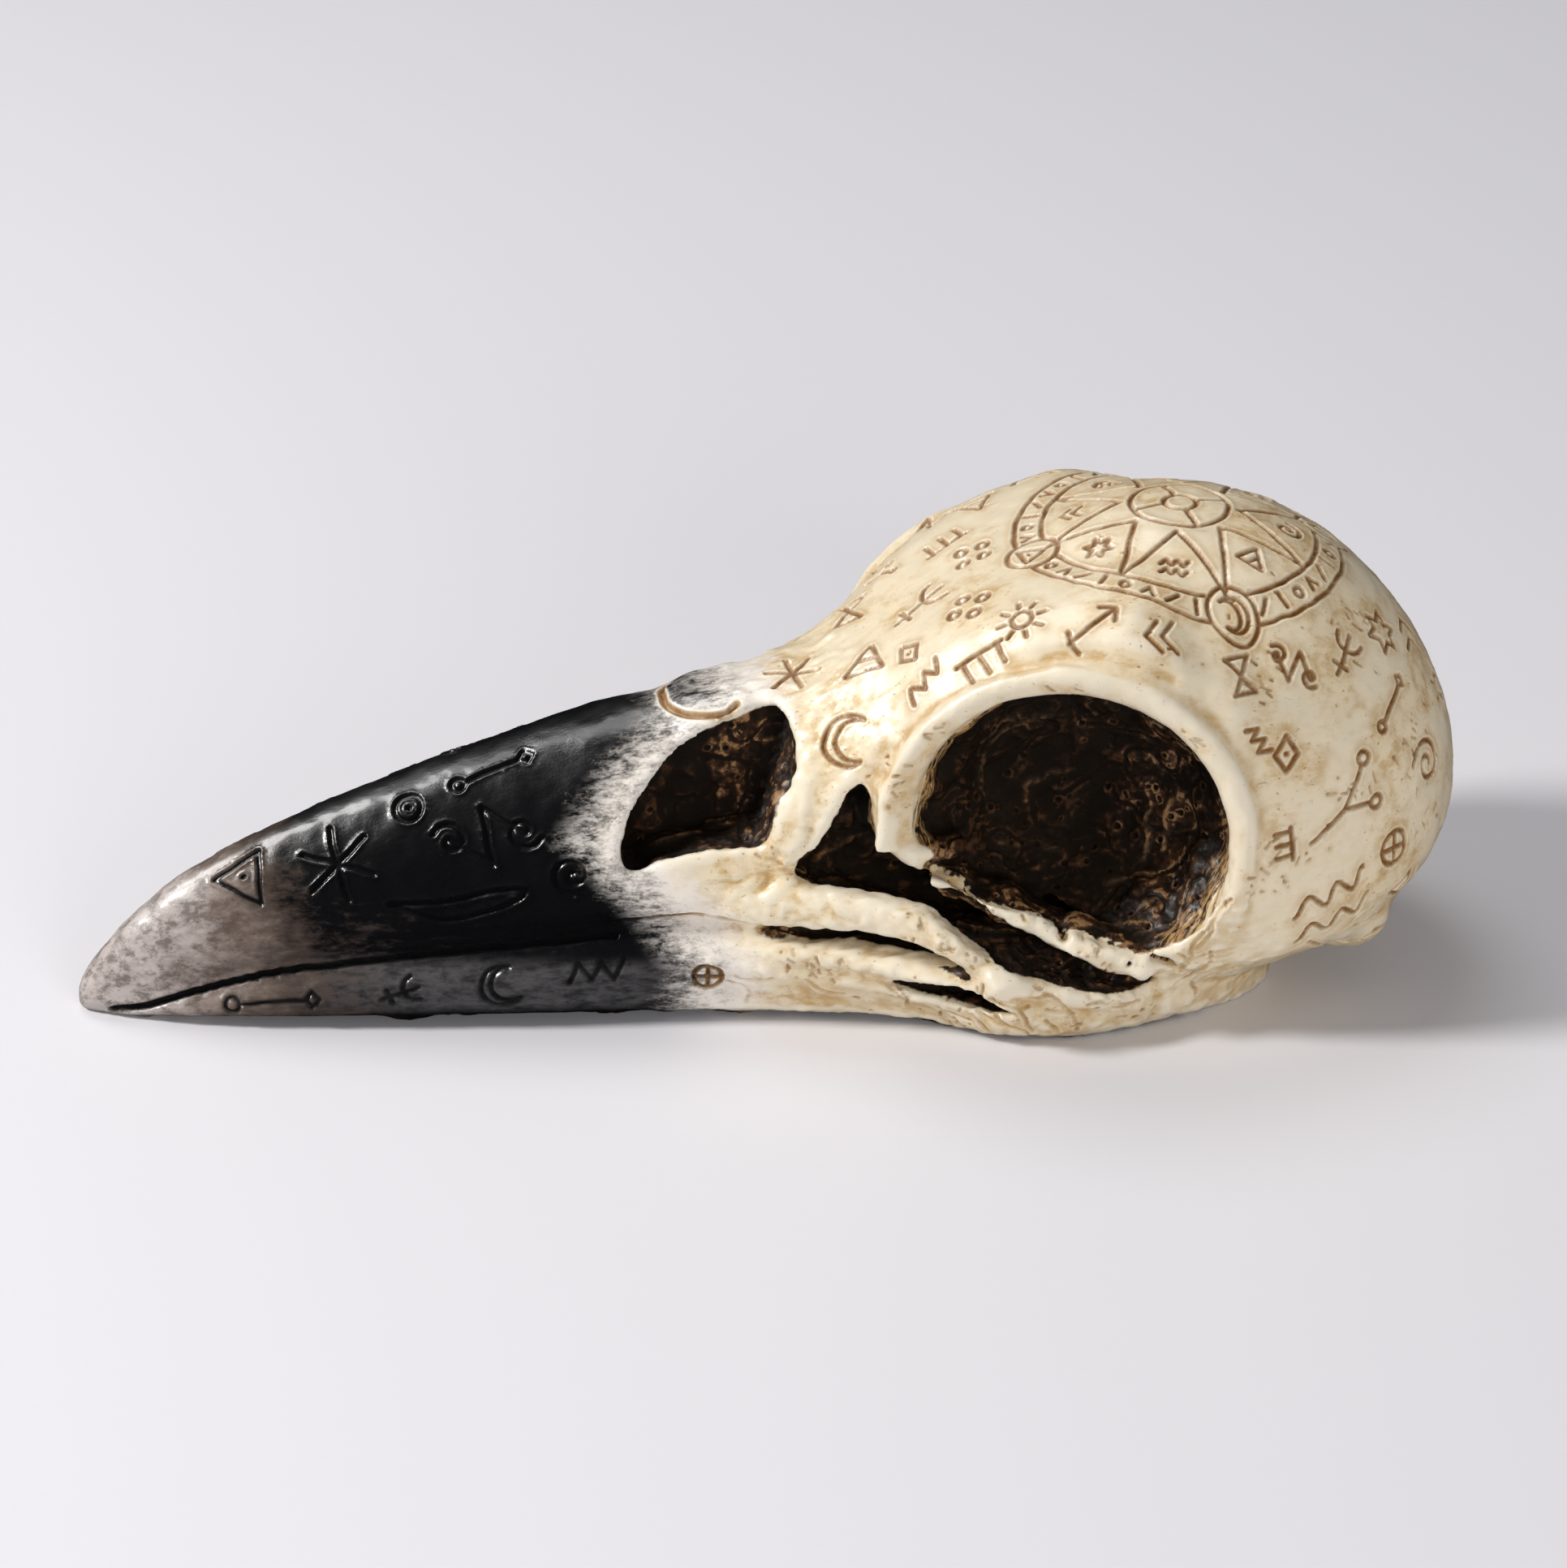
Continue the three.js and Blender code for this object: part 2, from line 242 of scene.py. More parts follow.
culmen = along([
    (-105, 3), (-103, 6.6), (-98, 13), (-91, 19.2), (-80, 25.4), (-62, 33), (-38, 40.8), (-18, 45.6),
    (6, 46.6),
])
mouth = along([
    (-110, 0.6), (-98, 1.4), (-92, 3.6), (-80, 7.7), (-66, 10.5), (-44, 13.3), (-14, 16.8), (8, 17.2),
    (26, 14.4),
    (32, 16), (60, 14), (110, 2),
])
beak_half = along([
    (-105, 1.6), (-103, 3.2), (-97, 5), (-86, 7.6), (-68, 10.8), (-44, 14.4), (-14, 19), (6, 21),
])
floor_half = along([
    (-102, 2), (-98, 5), (-80, 9.2), (-56, 12.6), (-16, 17), (0, 19.2), (20, 24.2), (33, 31.2), (42, 31.8),
    (56, 28.8), (67, 23.6), (74, 17), (77.5, 7),
])
jaw_flare = along([(-102, 0), (-70, 0.2), (-16, 1.6), (0, 3.2), (25, 4.6), (40, 2.8), (77, 1.5)])
jaw_top = along([
    (-102, 2), (-92, 4.4), (-66, 11.3), (-14, 17.6), (4, 17), (25, 14.6), (40, 14), (60, 13), (77, 9),
])
face_top = along([
    (-20, 42), (-13, 47), (-4, 48.6), (6, 50.6), (14, 54.6), (24, 61), (33, 65.4), (42, 68.2), (52, 70.2),
    (66, 71.6),
])
face_half = along([(-20, 15), (-8, 18.6), (4, 21.6), (13, 24.4), (25, 28), (40, 32), (54, 35.4), (66, 36.2)])
face_widest = along([(-20, 22), (4, 27), (25, 34), (66, 38)])
face_square = along([
    (-20, 2.1), (4, 2.3), (14, 3), (24, 4.6), (36, 5.2), (46, 4.8), (54, 3.4), (60, 2.5), (66, 2.1),
])


def beak_section(x, c, s):
    widest = mouth(x) + 0.12 * (culmen(x) - mouth(x))
    reach = culmen(x) - widest if s > 0 else widest - mouth(x) + 1.5
    return beak_half(x) * c, widest + reach * s


def face_section(x, c, s):
    widest = face_widest(x)
    reach = face_top(x) - widest if s > 0 else widest - 9
    return face_half(x) * squared(c, face_square(x)), widest + reach * squared(s, face_square(x))


def jaw_section(x, c, s):
    sunk = 4  # the rounded underside is cut off flat at the floor
    top = jaw_top(x)
    z = (top - sunk) / 2 + (top + sunk) / 2 * squared(s, 4.4)
    wider = jaw_flare(x) * min(1, max(0, z / 11))
    return (floor_half(x) + wider) * squared(c, 4.4), z


def dome_place(t, c, s):
    girth = math.sin(math.pi * t)
    rise = 44.1 * girth**1.12 if s > 0 else 26 * girth
    square = 2.15 if s > 0 else 3
    x = 60.5 - 44.5 * math.cos(math.pi * t)
    return x, 37 * girth * squared(c, square), 29 + rise * squared(s, square)


hull = skinned(
    gathered([
        loft(-105, 6, beak_section),
        loft(-20, 66, face_section),
        formed(96, 72, dome_place),
        loft(-102, 77.5, jaw_section),
        ellipsoid((41, -26, 9), (14.5, 8.5, 9)),
        ellipsoid((31.5, -29, 11.5), (6, 6.5, 6)),
        ellipsoid((85.5, -18, 11.5), (6.5, 6, 5.6)),
    ]),
    SKIN_MM,
    10,
)

# ---------------------------------------------------------------------------
# The hollows: eye sockets, the gaps in front of them, nostrils, the slits below the cheek bars, the
# windows in the jaw and the hole at the back. They are cut out of the casting with a router's shapes.
# ---------------------------------------------------------------------------


def prism(outline, near, far):
    """A closed outline in X and Z, drawn out along Y."""
    form = bmesh.new()
    face = form.faces.new([form.verts.new((x, near, z)) for x, z in outline])
    drawn = bmesh.ops.extrude_face_region(form, geom=[face])
    far_corners = [part for part in drawn["geom"] if isinstance(part, bmesh.types.BMVert)]
    bmesh.ops.translate(form, vec=(0, far - near, 0), verts=far_corners)
    bmesh.ops.recalc_face_normals(form, faces=form.faces)
    return form


def curved_outline(corners, steps=6):
    """A smooth closed outline through a few points."""
    outline = []
    count = len(corners)
    for i in range(count):
        p0, p1, p2, p3 = (Vector(corners[(i + k - 1) % count]) for k in range(4))
        for step in range(steps):
            t = step / steps
            bend = (p2 - p0) * t + (2 * p0 - 5 * p1 + 4 * p2 - p3) * t**2 + (3 * p1 - p0 - 3 * p2 + p3) * t**3
            outline.append(tuple(p1 + bend / 2))
    return outline


hollows = gathered([
    ellipsoid((40.3, -37, 35.6), (25.2, 25, 23.6)),
    prism(curved_outline([
        (1.5, 25.2), (4.6, 30), (7.6, 36), (10.6, 40.5), (12.4, 38), (13.6, 32), (17, 28.4), (23, 25.6),
        (31, 22),
        (43, 17), (53, 13.4), (46, 12), (30, 14.5), (12, 20),
    ]), -60, -14),
    prism(curved_outline([
        (-24.2, 29.5), (-22.5, 25.8), (-16, 28), (-9, 29), (-3.2, 29.6), (-1, 34.6), (1.6, 40), (2, 46),
        (-1.5, 47.8),
        (-6.5, 46), (-14, 42.4), (-20.6, 36.6),
    ]), -60, -7),
])


def cut_from(mesh, cutters):
    """The mesh with the cutters' shapes taken out of it."""
    cutter = bpy.data.objects.new("cutter", cutters)
    cut = finished(mesh, ("BOOLEAN", {"operation": "DIFFERENCE", "solver": "MANIFOLD", "object": cutter}))
    bpy.data.objects.remove(cutter)
    return cut


routed = cut_from(hull, hollows)

# ---------------------------------------------------------------------------
# The eye rims, the knobs that hang from their front ends, the cheek bars and the shelves of bone in the
# floor of the sockets. They are rolled bars of resin, laid on the routed casting and smoothed into it.
# ---------------------------------------------------------------------------
FINE_SKIN_MM = 0.6


def spine(points):
    """at(t) gives the place and direction at t, 0 to 1, along a smooth line through the points."""
    knots = [Vector(p) for p in points]
    knots = [2 * knots[0] - knots[1], *knots, 2 * knots[-1] - knots[-2]]

    def at(t):
        run = min(t, 0.99999) * (len(points) - 1)
        i = int(run)
        u = run - i
        p0, p1, p2, p3 = knots[i : i + 4]
        b, c, d = p2 - p0, 2 * p0 - 5 * p1 + 4 * p2 - p3, 3 * p1 - p0 - 3 * p2 + p3
        return p1 + (b * u + c * u * u + d * u**3) / 2, (b + 2 * c * u + 3 * d * u * u).normalized()

    return at


def bar(points, across, tall, boxy=2.0, sides=40, rings=96):
    """A round-ended bar along a smooth line, half as wide as across and half as high as tall(t)."""
    line = spine(points)

    def place(t, c, s):
        ends = math.sqrt(max(0, 1 - abs(2 * t - 1) ** 5))
        at, ahead = line(t)
        side = Vector((0, 0, 1)).cross(ahead).normalized()
        upward = ahead.cross(side)
        return at + side * (squared(c, boxy) * across * ends) + upward * (squared(s, boxy) * tall(t) * ends)

    return formed(sides, rings, place)


RIM_MIDDLE = Vector((39.5, 0, 33))


def rim_point(degrees):
    """A point on the eye rim's middle line, which bulges more below and stands further out at the back."""
    angle = math.radians(degrees)
    half_length = 24.9 if abs(degrees) > 90 else 26
    half_height = 26.5 if 0 < degrees < 180 else 30.8
    x = RIM_MIDDLE.x + half_length * math.cos(angle)
    return x, -(24.5 + 0.225 * (x - 14.6)), RIM_MIDDLE.z + half_height * math.sin(angle)


RIM_LINE = [rim_point(184 - 23.1 * i) for i in range(11)]
HOOK_LINE = [(13.9, -24.6, 30.4), (14.3, -24.6, 33), *RIM_LINE]


def rim_bar():
    """The eye rim: a broad lip whose outer edge stands proud, and which leans into the socket."""
    line = spine(HOOK_LINE)

    def place(t, c, s):
        ends = math.sqrt(max(0, 1 - abs(2 * t - 1) ** 7)) * (1 - 0.75 * max(0, t - 0.88) / 0.12)
        at = line(t)[0]
        away = at - RIM_MIDDLE
        away.y = 0
        away.normalize()
        broad = (2.75 - 0.8 * t) * squared(c, 2.3) * ends
        lean = (1.0 - 0.5 * t) * c * ends
        return at + away * broad + Vector((0, (2.2 - 0.3 * t) * squared(s, 2.5) * ends - lean, 0))

    return formed(40, 110, place)


LEDGE_LINES = (
    [(22.4, -21, 25.4), (26.4, -21.6, 22.8), (30.6, -22, 20.4), (35, -21.8, 18.6), (39.4, -21.6, 17)],
    [(40.6, -24, 17.2), (44.6, -27, 15.6), (48.4, -29.4, 13.6), (52, -30.8, 12.4), (53.6, -31.2, 12.2)],
)
CREST_LINES = (
    [(22.6, -24.9, 25.8), (27, -27.5, 23.5), (32.8, -29.3, 20.9), (38, -28.6, 19)],
    [(41.4, -30, 17.6), (45.8, -32.4, 15.6), (50.5, -33.4, 13.2), (53.4, -32.4, 11.6)],
)

bars = gathered([
    rim_bar(),
    bar([
        (15.4, -24, 31), (18.6, -23.4, 30.2), (22.6, -22, 29.6), (26.4, -19, 28.4),
    ], 3.2, lambda t: 1.9 - 0.4 * t),
    bar([
        (-17, -13.6, 19.4), (-7, -18, 20.2), (2, -21, 20.6), (9.3, -23.6, 20.7), (17, -26.8, 19.9),
        (23.6, -29.8, 17.6),
        (29, -32, 12.4),
    ], 2.6, lambda t: 3.5 - 0.7 * t, 2.8),
    bar([
        (-8, -18.4, 12.8), (0, -20.8, 12.7), (8, -23, 12.4), (15, -25.6, 11.8), (21.4, -28.8, 11),
        (29, -32, 9.8),
    ], 2.2, lambda t: 1.9 - 0.4 * t),
])
ledges = gathered([
    bar(LEDGE_LINES[0], 5, lambda t: 2.3 + 0.5 * math.sin(13 * t)),
    bar(LEDGE_LINES[1], 3.4, lambda t: 2.1 + 0.8 * t + 0.3 * math.sin(16 * t)),
])
# The slit under the cheek bar, the gap between the ledges, the crack behind the gully and the jaw window.
slits = gathered([
    prism(curved_outline([
        (-5, 15.4), (0, 17), (9.3, 17.4), (18.5, 16.2), (24.8, 13.6), (22.6, 12.8), (17, 13.6), (9, 14.3),
        (1, 14.4),
    ]), -60, -17.4),
    ellipsoid((40.2, -29.6, 18.4), (1.3, 4, 2), 16, 12),
    bar([
        (51.6, -34, 15), (54.8, -34.6, 13.6), (55.7, -35, 11.6), (53.6, -35.6, 9.2),
    ], 5, lambda t: 0.8, sides=16, rings=24),
    prism(curved_outline([
        (14, 8.4), (18, 10.4), (25, 10.2), (30.4, 8.2), (33, 6), (27, 6.2), (19, 7),
    ]), -60, -24.6),
])
gullies = gathered([
    bar([
        (19, -30, 24.6), (24, -30.4, 22), (28.5, -31, 18.6), (33, -31.6, 16), (39, -32.6, 13.2),
        (45, -34, 10.8),
        (51, -35.4, 9.2), (54.6, -37, 9),
    ], 7.6, lambda t: 2.9 - 1.1 * t, 2.2),
])
foramen = gathered([ellipsoid((101, 0, 8.5), (9, 5.4, 4.8))], mirrored=False)
below_floor = bmesh.new()
bmesh.ops.create_cube(below_floor, size=300, matrix=Matrix.Translation((0, 0, -150)))
below_floor = gathered([below_floor], mirrored=False)

joined_forms = bmesh.new()
for part in (routed, bars):
    joined_forms.from_mesh(part)
rough = bpy.data.meshes.new("rough")
joined_forms.to_mesh(rough)
rough = cut_from(skinned(rough, FINE_SKIN_MM, 1), gullies)
joined_forms.clear()
for part in (rough, ledges):
    joined_forms.from_mesh(part)
joined_forms.to_mesh(rough)
joined_forms.free()
casting = skinned(rough, FINE_SKIN_MM, 2)
for cutters in (slits, foramen, below_floor):
    casting = cut_from(casting, cutters)
casting = skinned(casting, FINE_SKIN_MM, 3)

# ---------------------------------------------------------------------------
# The carved surface. The master was modelled by hand before it was moulded: swellings and valleys are
# pushed into it along soft lines, and the whole skin keeps the small unevenness of the tool.
# ---------------------------------------------------------------------------


def places(mesh):
    """Every vertex's place, as rows of an array."""
    flat = np.empty(len(mesh.vertices) * 3)
    mesh.vertices.foreach_get("co", flat)
    return flat.reshape(-1, 3)


def facings(mesh):
    """Every vertex's normal, as rows of an array."""
    flat = np.empty(len(mesh.vertices) * 3)
    mesh.vertex_normals.foreach_get("vector", flat)
    return flat.reshape(-1, 3)


def moved(mesh, rows):
    """Puts the vertices at new places, none of them under the floor."""
    rows[:, 2] = np.maximum(rows[:, 2], 0)
    mesh.vertices.foreach_set("co", rows.ravel())
    mesh.update()


def neighbours(mesh):
    """mean(rows) averages each vertex's neighbours in rows."""
    ends = np.empty(len(mesh.edges) * 2, dtype=np.int32)
    mesh.edges.foreach_get("vertices", ends)
    count = len(mesh.vertices)
    shares = np.bincount(ends, minlength=count)
    first, second = ends.reshape(-1, 2).T

    def mean(rows):
        columns = [
            np.bincount(first, column[second], count) + np.bincount(second, column[first], count)
            for column in rows.reshape(count, -1).T
        ]
        return (np.stack(columns, 1) / shares[:, None]).reshape(rows.shape)

    return mean


def eased(value, low, high):
    """0 below low, 1 above high, and a smooth rise between."""
    t = np.clip((value - low) / (high - low), 0, 1)
    return t * t * (3 - 2 * t)


def reach_to(rows, lines, furthest):
    """How far each place is from the nearest of several lines, with everything past furthest left there."""
    nearest = np.full(len(rows), float(furthest))
    for line in lines:
        line = np.array(line, dtype=float)
        near = np.all((rows > line.min(0) - furthest) & (rows < line.max(0) + furthest), axis=1).nonzero()[0]
        if not len(near):
            continue
        close = nearest[near] ** 2
        for start, end in zip(line, line[1:]):
            run = end - start
            away = rows[near] - start
            t = np.clip(away @ run / max(run @ run, 1e-9), 0, 1)
            close = np.minimum(close, ((away - t[:, None] * run) ** 2).sum(1))
        nearest[near] = np.sqrt(close)
    return nearest


def grain(rows, size, seed=0, octaves=2):
    """Soft noise between about -1 and 1, with lumps of the given size."""
    shift = 17.3 * seed
    return np.array([
        noise.fractal((x / size + shift, y / size, z / size), 1.0, 2.0, octaves, noise_basis="PERLIN_NEW")
        for x, y, z in rows.tolist()
    ])


def both_sides(lines):
    return [*lines, *([(x, -y, z) for x, y, z in line] for line in lines)]


def drawn_line(points, gap=1.2):
    """A smooth line through a few points, as points a gap apart."""
    at = spine(points)
    length = sum((Vector(b) - Vector(a)).length for a, b in zip(points, points[1:]))
    steps = max(2, round(length / gap))
    return [tuple(at(i / steps)[0]) for i in range(steps + 1)]


class Surface:
    """A skin that lines can be laid on."""

    def __init__(self, mesh):
        self.tree = BVHTree.FromPolygons(places(mesh).tolist(), [tuple(p.vertices) for p in mesh.polygons])

    def laid(self, line):
        return [tuple(self.tree.find_nearest(point)[0]) for point in line]


# Each is (height in mm, half-width in mm, points); a negative height is a valley.
SWELLINGS = (
    (0.7, 4.2, [(50, -29, 65), (57, -30.5, 61), (63, -31.5, 56.5), (69, -31.5, 51)]),
    (0.3, 1.3, [(-25.5, -16.4, 26), (-22, -14.2, 35), (-14, -12.4, 42), (-6, -12.4, 46.6), (0, -13, 48)]),
    (0.3, 1.2, [(3.6, -18.6, 45), (3.4, -18.6, 40), (2.2, -20, 32), (0.4, -21.6, 27), (-2.6, -23.4, 23.5)]),
    (0.4, 1.2, [(-14, -17.6, 11.4), (-4, -19.4, 10.4), (6, -22.4, 9.2), (15, -25, 7.6), (25, -29.4, 6)]),
    (0.5, 2.4, [(-13, -2.5, 47), (-10, -4.5, 47.2), (-6, -4.5, 48)]),
    (0.5, 2.2, [(84, -26, 12), (89, -21, 12.5), (93, -14, 12)]),
    (0.5, 1.0, [(29, -33.4, 13), (31.6, -34, 9), (34.6, -35, 5), (37, -35, 2.4)]),
    (0.45, 1.1, [(30, -34, 12.4), (36, -35, 10.2), (43, -35.4, 8.2), (51, -34.6, 6.8)]),
)
GROOVES = (
    (-0.4, 1.6, [(-10, -18, 5), (0, -20, 4.4), (12, -24, 3.4), (22, -28, 2.6)]),
    (-0.6, 0.9, [(54.4, -33.4, 9), (55.4, -33, 6), (55.6, -32.6, 3.6), (55, -32, 1)]),
    (-0.4, 1.0, [(33, -34.4, 8.6), (38, -35.2, 7.2), (44, -35.2, 5)]),
    (-0.35, 0.8, [(4, -20.4, 33), (2.6, -21.4, 29), (0.6, -22.8, 26)]),
    (-0.3, 0.7, [(-1.6, -22.2, 29), (-2.6, -22.8, 26.4), (-5, -23, 24.6)]),
    (-0.45, 2.6, [(70, -30, 9), (78, -27, 9.6), (85, -22, 7)]),
    (-0.3, 1.4, [(8, -14, 50.4), (14, -16, 53), (20, -19, 56)]),
)


def outside_rim(gap):
    """A line beside the eye rim, further out than its middle by a gap."""
    line = []
    for i in range(14):
        x, y, z = rim_point(190 - 10 * i)
        away = Vector((x - RIM_MIDDLE.x, 0, z - RIM_MIDDLE.z)).normalized() * gap
        line.append((x + away.x, y, z + away.z))
    return line


coarse = Surface(casting)
rows = places(casting)
out = facings(casting)
lift = np.zeros(len(rows))
RIM_VALLEYS = ((-0.5, 1.4, outside_rim(4.9)), (0.3, 1.3, outside_rim(8.2)))
for height, width, points in (*SWELLINGS, *GROOVES, *RIM_VALLEYS):
    line = coarse.laid(drawn_line(points))
    away = reach_to(rows, both_sides([line]), 3 * width)
    lift += height * np.exp(-((away / width) ** 2))
lift += 0.22 * grain(rows, 7, seed=1) + 0.06 * grain(rows, 2.2, seed=2)
# The low bone of the sides and the bone round the nostrils keep the marks of the tool.
low_bone = (1 - eased(rows[:, 2], 24, 34)) * eased(rows[:, 0], -16, -8) * (1 - eased(rows[:, 0], 64, 80))
nose_bone = eased(rows[:, 0], -16, -6) * (1 - eased(rows[:, 0], 8, 20))
tooled = np.abs(grain(rows * (0.55, 1, 0.8), 2.3, seed=10)) - 0.25
lift += 0.55 * np.maximum(low_bone, 0.8 * nose_bone) * tooled
rows = rows + out * lift[:, None]
# The sides swell between mouth and floor, and the foot is undercut so that it meets the floor in shadow.
foot = np.array([floor_half(x) for x in rows[:, 0].tolist()])
undercut = np.minimum(np.interp(rows[:, 0], (-10, 30, 58, 70), (4.0, 2.0, 1.6, 0)), 0.4 * foot)
round_side = np.minimum(np.interp(rows[:, 0], (-40, 0), (1.8, 0)), 0.16 * foot)
lip = np.array([mouth(x) for x in rows[:, 0].tolist()])
round_side *= np.sin(np.pi * np.clip(rows[:, 2] / lip, 0, 1))
rows[:, 1] *= 1 + (round_side - undercut * np.clip(1 - rows[:, 2] / 3, 0, 1) ** 2) / foot
moved(casting, rows)

# ---------------------------------------------------------------------------
# The engraving: a compass star in a double ring on the crown, and small marks over forehead, brow, cheeks
# and beak. Each line is a tool cut about a millimetre wide, with a slight burr thrown up along it.
# ---------------------------------------------------------------------------
CUT_HALF_WIDTH = 0.38
CUT_DEPTH = 0.42
BURR = 0.09
LINE_STEP = 0.7


def arc(x, y, radius, start=0, end=360, step=24):
    """Points of an arc, in degrees from the mark's right-hand side."""
    steps = max(5, round(abs(end - start) / step))
    angles = [math.radians(start + (end - start) * i / steps) for i in range(steps + 1)]
    return [(x + radius * math.cos(a), y + radius * math.sin(a)) for a in angles]


def closed(*points):
    return [*points, points[0]]


def spokes(count, inner, outer, turn=0):
    """Short straight lines that stand round a centre."""
    angles = [math.radians(turn + 360 * i / count) for i in range(count)]
    return [[(reach * math.cos(a), reach * math.sin(a)) for reach in (inner, outer)] for a in angles]


def star(count, outer, inner, turn=90):
    """A star's outline."""
    corners = []
    for i in range(2 * count):
        a = math.radians(turn + 180 * i / count)
        radius = inner if i % 2 else outer
        corners.append((radius * math.cos(a), radius * math.sin(a)))
    return closed(*corners)


def coil(turns, start=0):
    """A spiral that opens from the middle out to 1."""
    steps = round(turns * 14)
    return [
        ((0.12 + 0.88 * i / steps) * math.cos(math.radians(start) + math.tau * turns * i / steps),
         (0.12 + 0.88 * i / steps) * math.sin(math.radians(start) + math.tau * turns * i / steps))
        for i in range(steps + 1)
    ]


def ripple(y, waves=2.5, height=0.22):
    return [(-1 + i / 10, y + height * math.sin(math.pi * waves * (-1 + i / 10))) for i in range(21)]


TRIANGLE = closed((-0.9, -0.7), (0.9, -0.7), (0, 0.9))
DOT = [(0, 0), (0.04, 0)]
MARKS = {
    "sun": [arc(0, 0, 0.42), *spokes(8, 0.68, 1)],
    "ring_and_dot": [arc(0, 0, 0.85), DOT],
    "new_moon": [arc(0, 0, 1, 55, 305, 12), arc(0.34, 0, 0.84, 72, 288, 12)],
    "peak": [TRIANGLE, [(-0.5, 0), (0.5, 0)]],
    "valley": [closed((-0.9, 0.7), (0.9, 0.7), (0, -0.9)), [(0, 0.2), (0.04, 0.2)]],
    "water": [ripple(0.42), ripple(-0.42)],
    "zigzag": [[(-1, -0.3), (-0.6, 0.4), (-0.2, -0.3), (0.2, 0.4), (0.6, -0.3), (1, 0.4)]],
    "lozenge": [closed((-0.7, 0), (0, -1), (0.7, 0), (0, 1)), DOT],
    "shell": [coil(1.5)],
    "seeds": [arc(0.72, 0, 0.27), arc(-0.72, 0, 0.27), arc(0, 0.72, 0.27), arc(0, -0.72, 0.27)],
    "arrow": [
        [(-1, -0.6), (0.9, 0.6)], [(0.3, 0.75), (0.9, 0.6), (0.75, 0)],
        [(-0.75, -0.95), (-1, -0.6), (-1, -0.1)],
    ],
    "seed_pod": [arc(0, -0.75, 1.25, 37, 143, 12), arc(0, 0.75, 1.25, 217, 323, 12), DOT],
    "hourglass": [closed((-0.65, 0.9), (0.65, 0.9), (-0.65, -0.9), (0.65, -0.9))],
    "fork": [[(0, -1), (0, 0.9)], arc(0, 0.75, 0.62, 180, 360), [(-0.35, -0.6), (0.35, -0.6)]],
    "snowflake": [*spokes(3, -1, 1, 30)],
    "star": [star(6, 1, 0.5)],
    "comb": [[(-1, 0.5), (1, 0.5)], *([(x, 0.5), (x, -0.5)] for x in (-0.75, 0, 0.75))],
    "field": [arc(0, 0, 0.85), [(0, 0.85), (0, -0.85)], [(-0.85, 0), (0.85, 0)]],
    "chevrons": [[(-0.8, y - 0.35), (0, y + 0.35), (0.8, y - 0.35)] for y in (-0.45, 0.35)],
    "link": [
        arc(-0.85, 0, 0.15), [(-0.7, 0), (0.68, 0)], closed((0.68, 0), (0.84, 0.18), (1, 0), (0.84, -0.18)),
    ],
    "tendril": [
        [(-0.62 + 0.36 * x, 0.3 + 0.36 * y) for x, y in coil(1.1, 90)][::-1] + [(-0.2, -0.5), (0.2, 0.5)]
        + [(0.62 - 0.36 * x, -0.3 - 0.36 * y) for x, y in coil(1.1, 90)],
    ],
    "stem": [
        [(-0.9, -0.8), (0, -0.1), (0.5, 0.9)], [(0, -0.1), (0.8, -0.1)], arc(0.55, 1.02, 0.16),
        arc(0.96, -0.1, 0.16),
    ],
}
BAND = (0.84, 1.0)
STATION = 0.155
COMPASS = [
    *(arc(0, 0, radius, 90 * i + 9.5, 90 * i + 80.5, 6) for radius in BAND for i in range(4)),
    star(8, BAND[0], 0.36), arc(0, 0, 0.3, step=12), arc(0, 0, 0.1), *spokes(4, 0.1, 0.3),
]


def stood_at(lines, radius, degrees, size):
    """Lines made smaller and set round the middle of the medallion."""
    turn = math.radians(degrees)
    cos_turn, sin_turn = math.cos(turn), math.sin(turn)
    placed = []
    for line in lines:
        spots = [(radius + size * v, size * u) for u, v in line]
        placed.append([
            (far * cos_turn + side * sin_turn, far * sin_turn - side * cos_turn) for far, side in spots
        ])
    return placed


BAND_MIDDLE = sum(BAND) / 2
TICKS = (
    [[(0, -1), (0, 1)]], [arc(0, 0, 0.7)],
    [[(-0.8, 0.7), (0, -0.7), (0.8, 0.7)]], [[(-0.8, -0.8), (0.8, 0.8)]],
)
for i in range(40):
    if i % 10 not in (0, 9):
        COMPASS += stood_at(TICKS[i % 4], BAND_MIDDLE, 9 * i + 4.5, 0.042)
for i, name in enumerate(("lozenge", "sun", "valley", "new_moon")):
    COMPASS += stood_at([arc(0, 0, 1, step=15)], BAND_MIDDLE + 0.02, 90 * i, STATION)
    COMPASS += stood_at(MARKS[name], BAND_MIDDLE + 0.02, 90 * i, STATION * 0.6)
for i, name in enumerate(("seeds", "hourglass", "field", "chevrons", "star", "water", "peak", "shell")):
    COMPASS += stood_at(MARKS[name], 0.66, 45 * i + 22.5, 0.085)
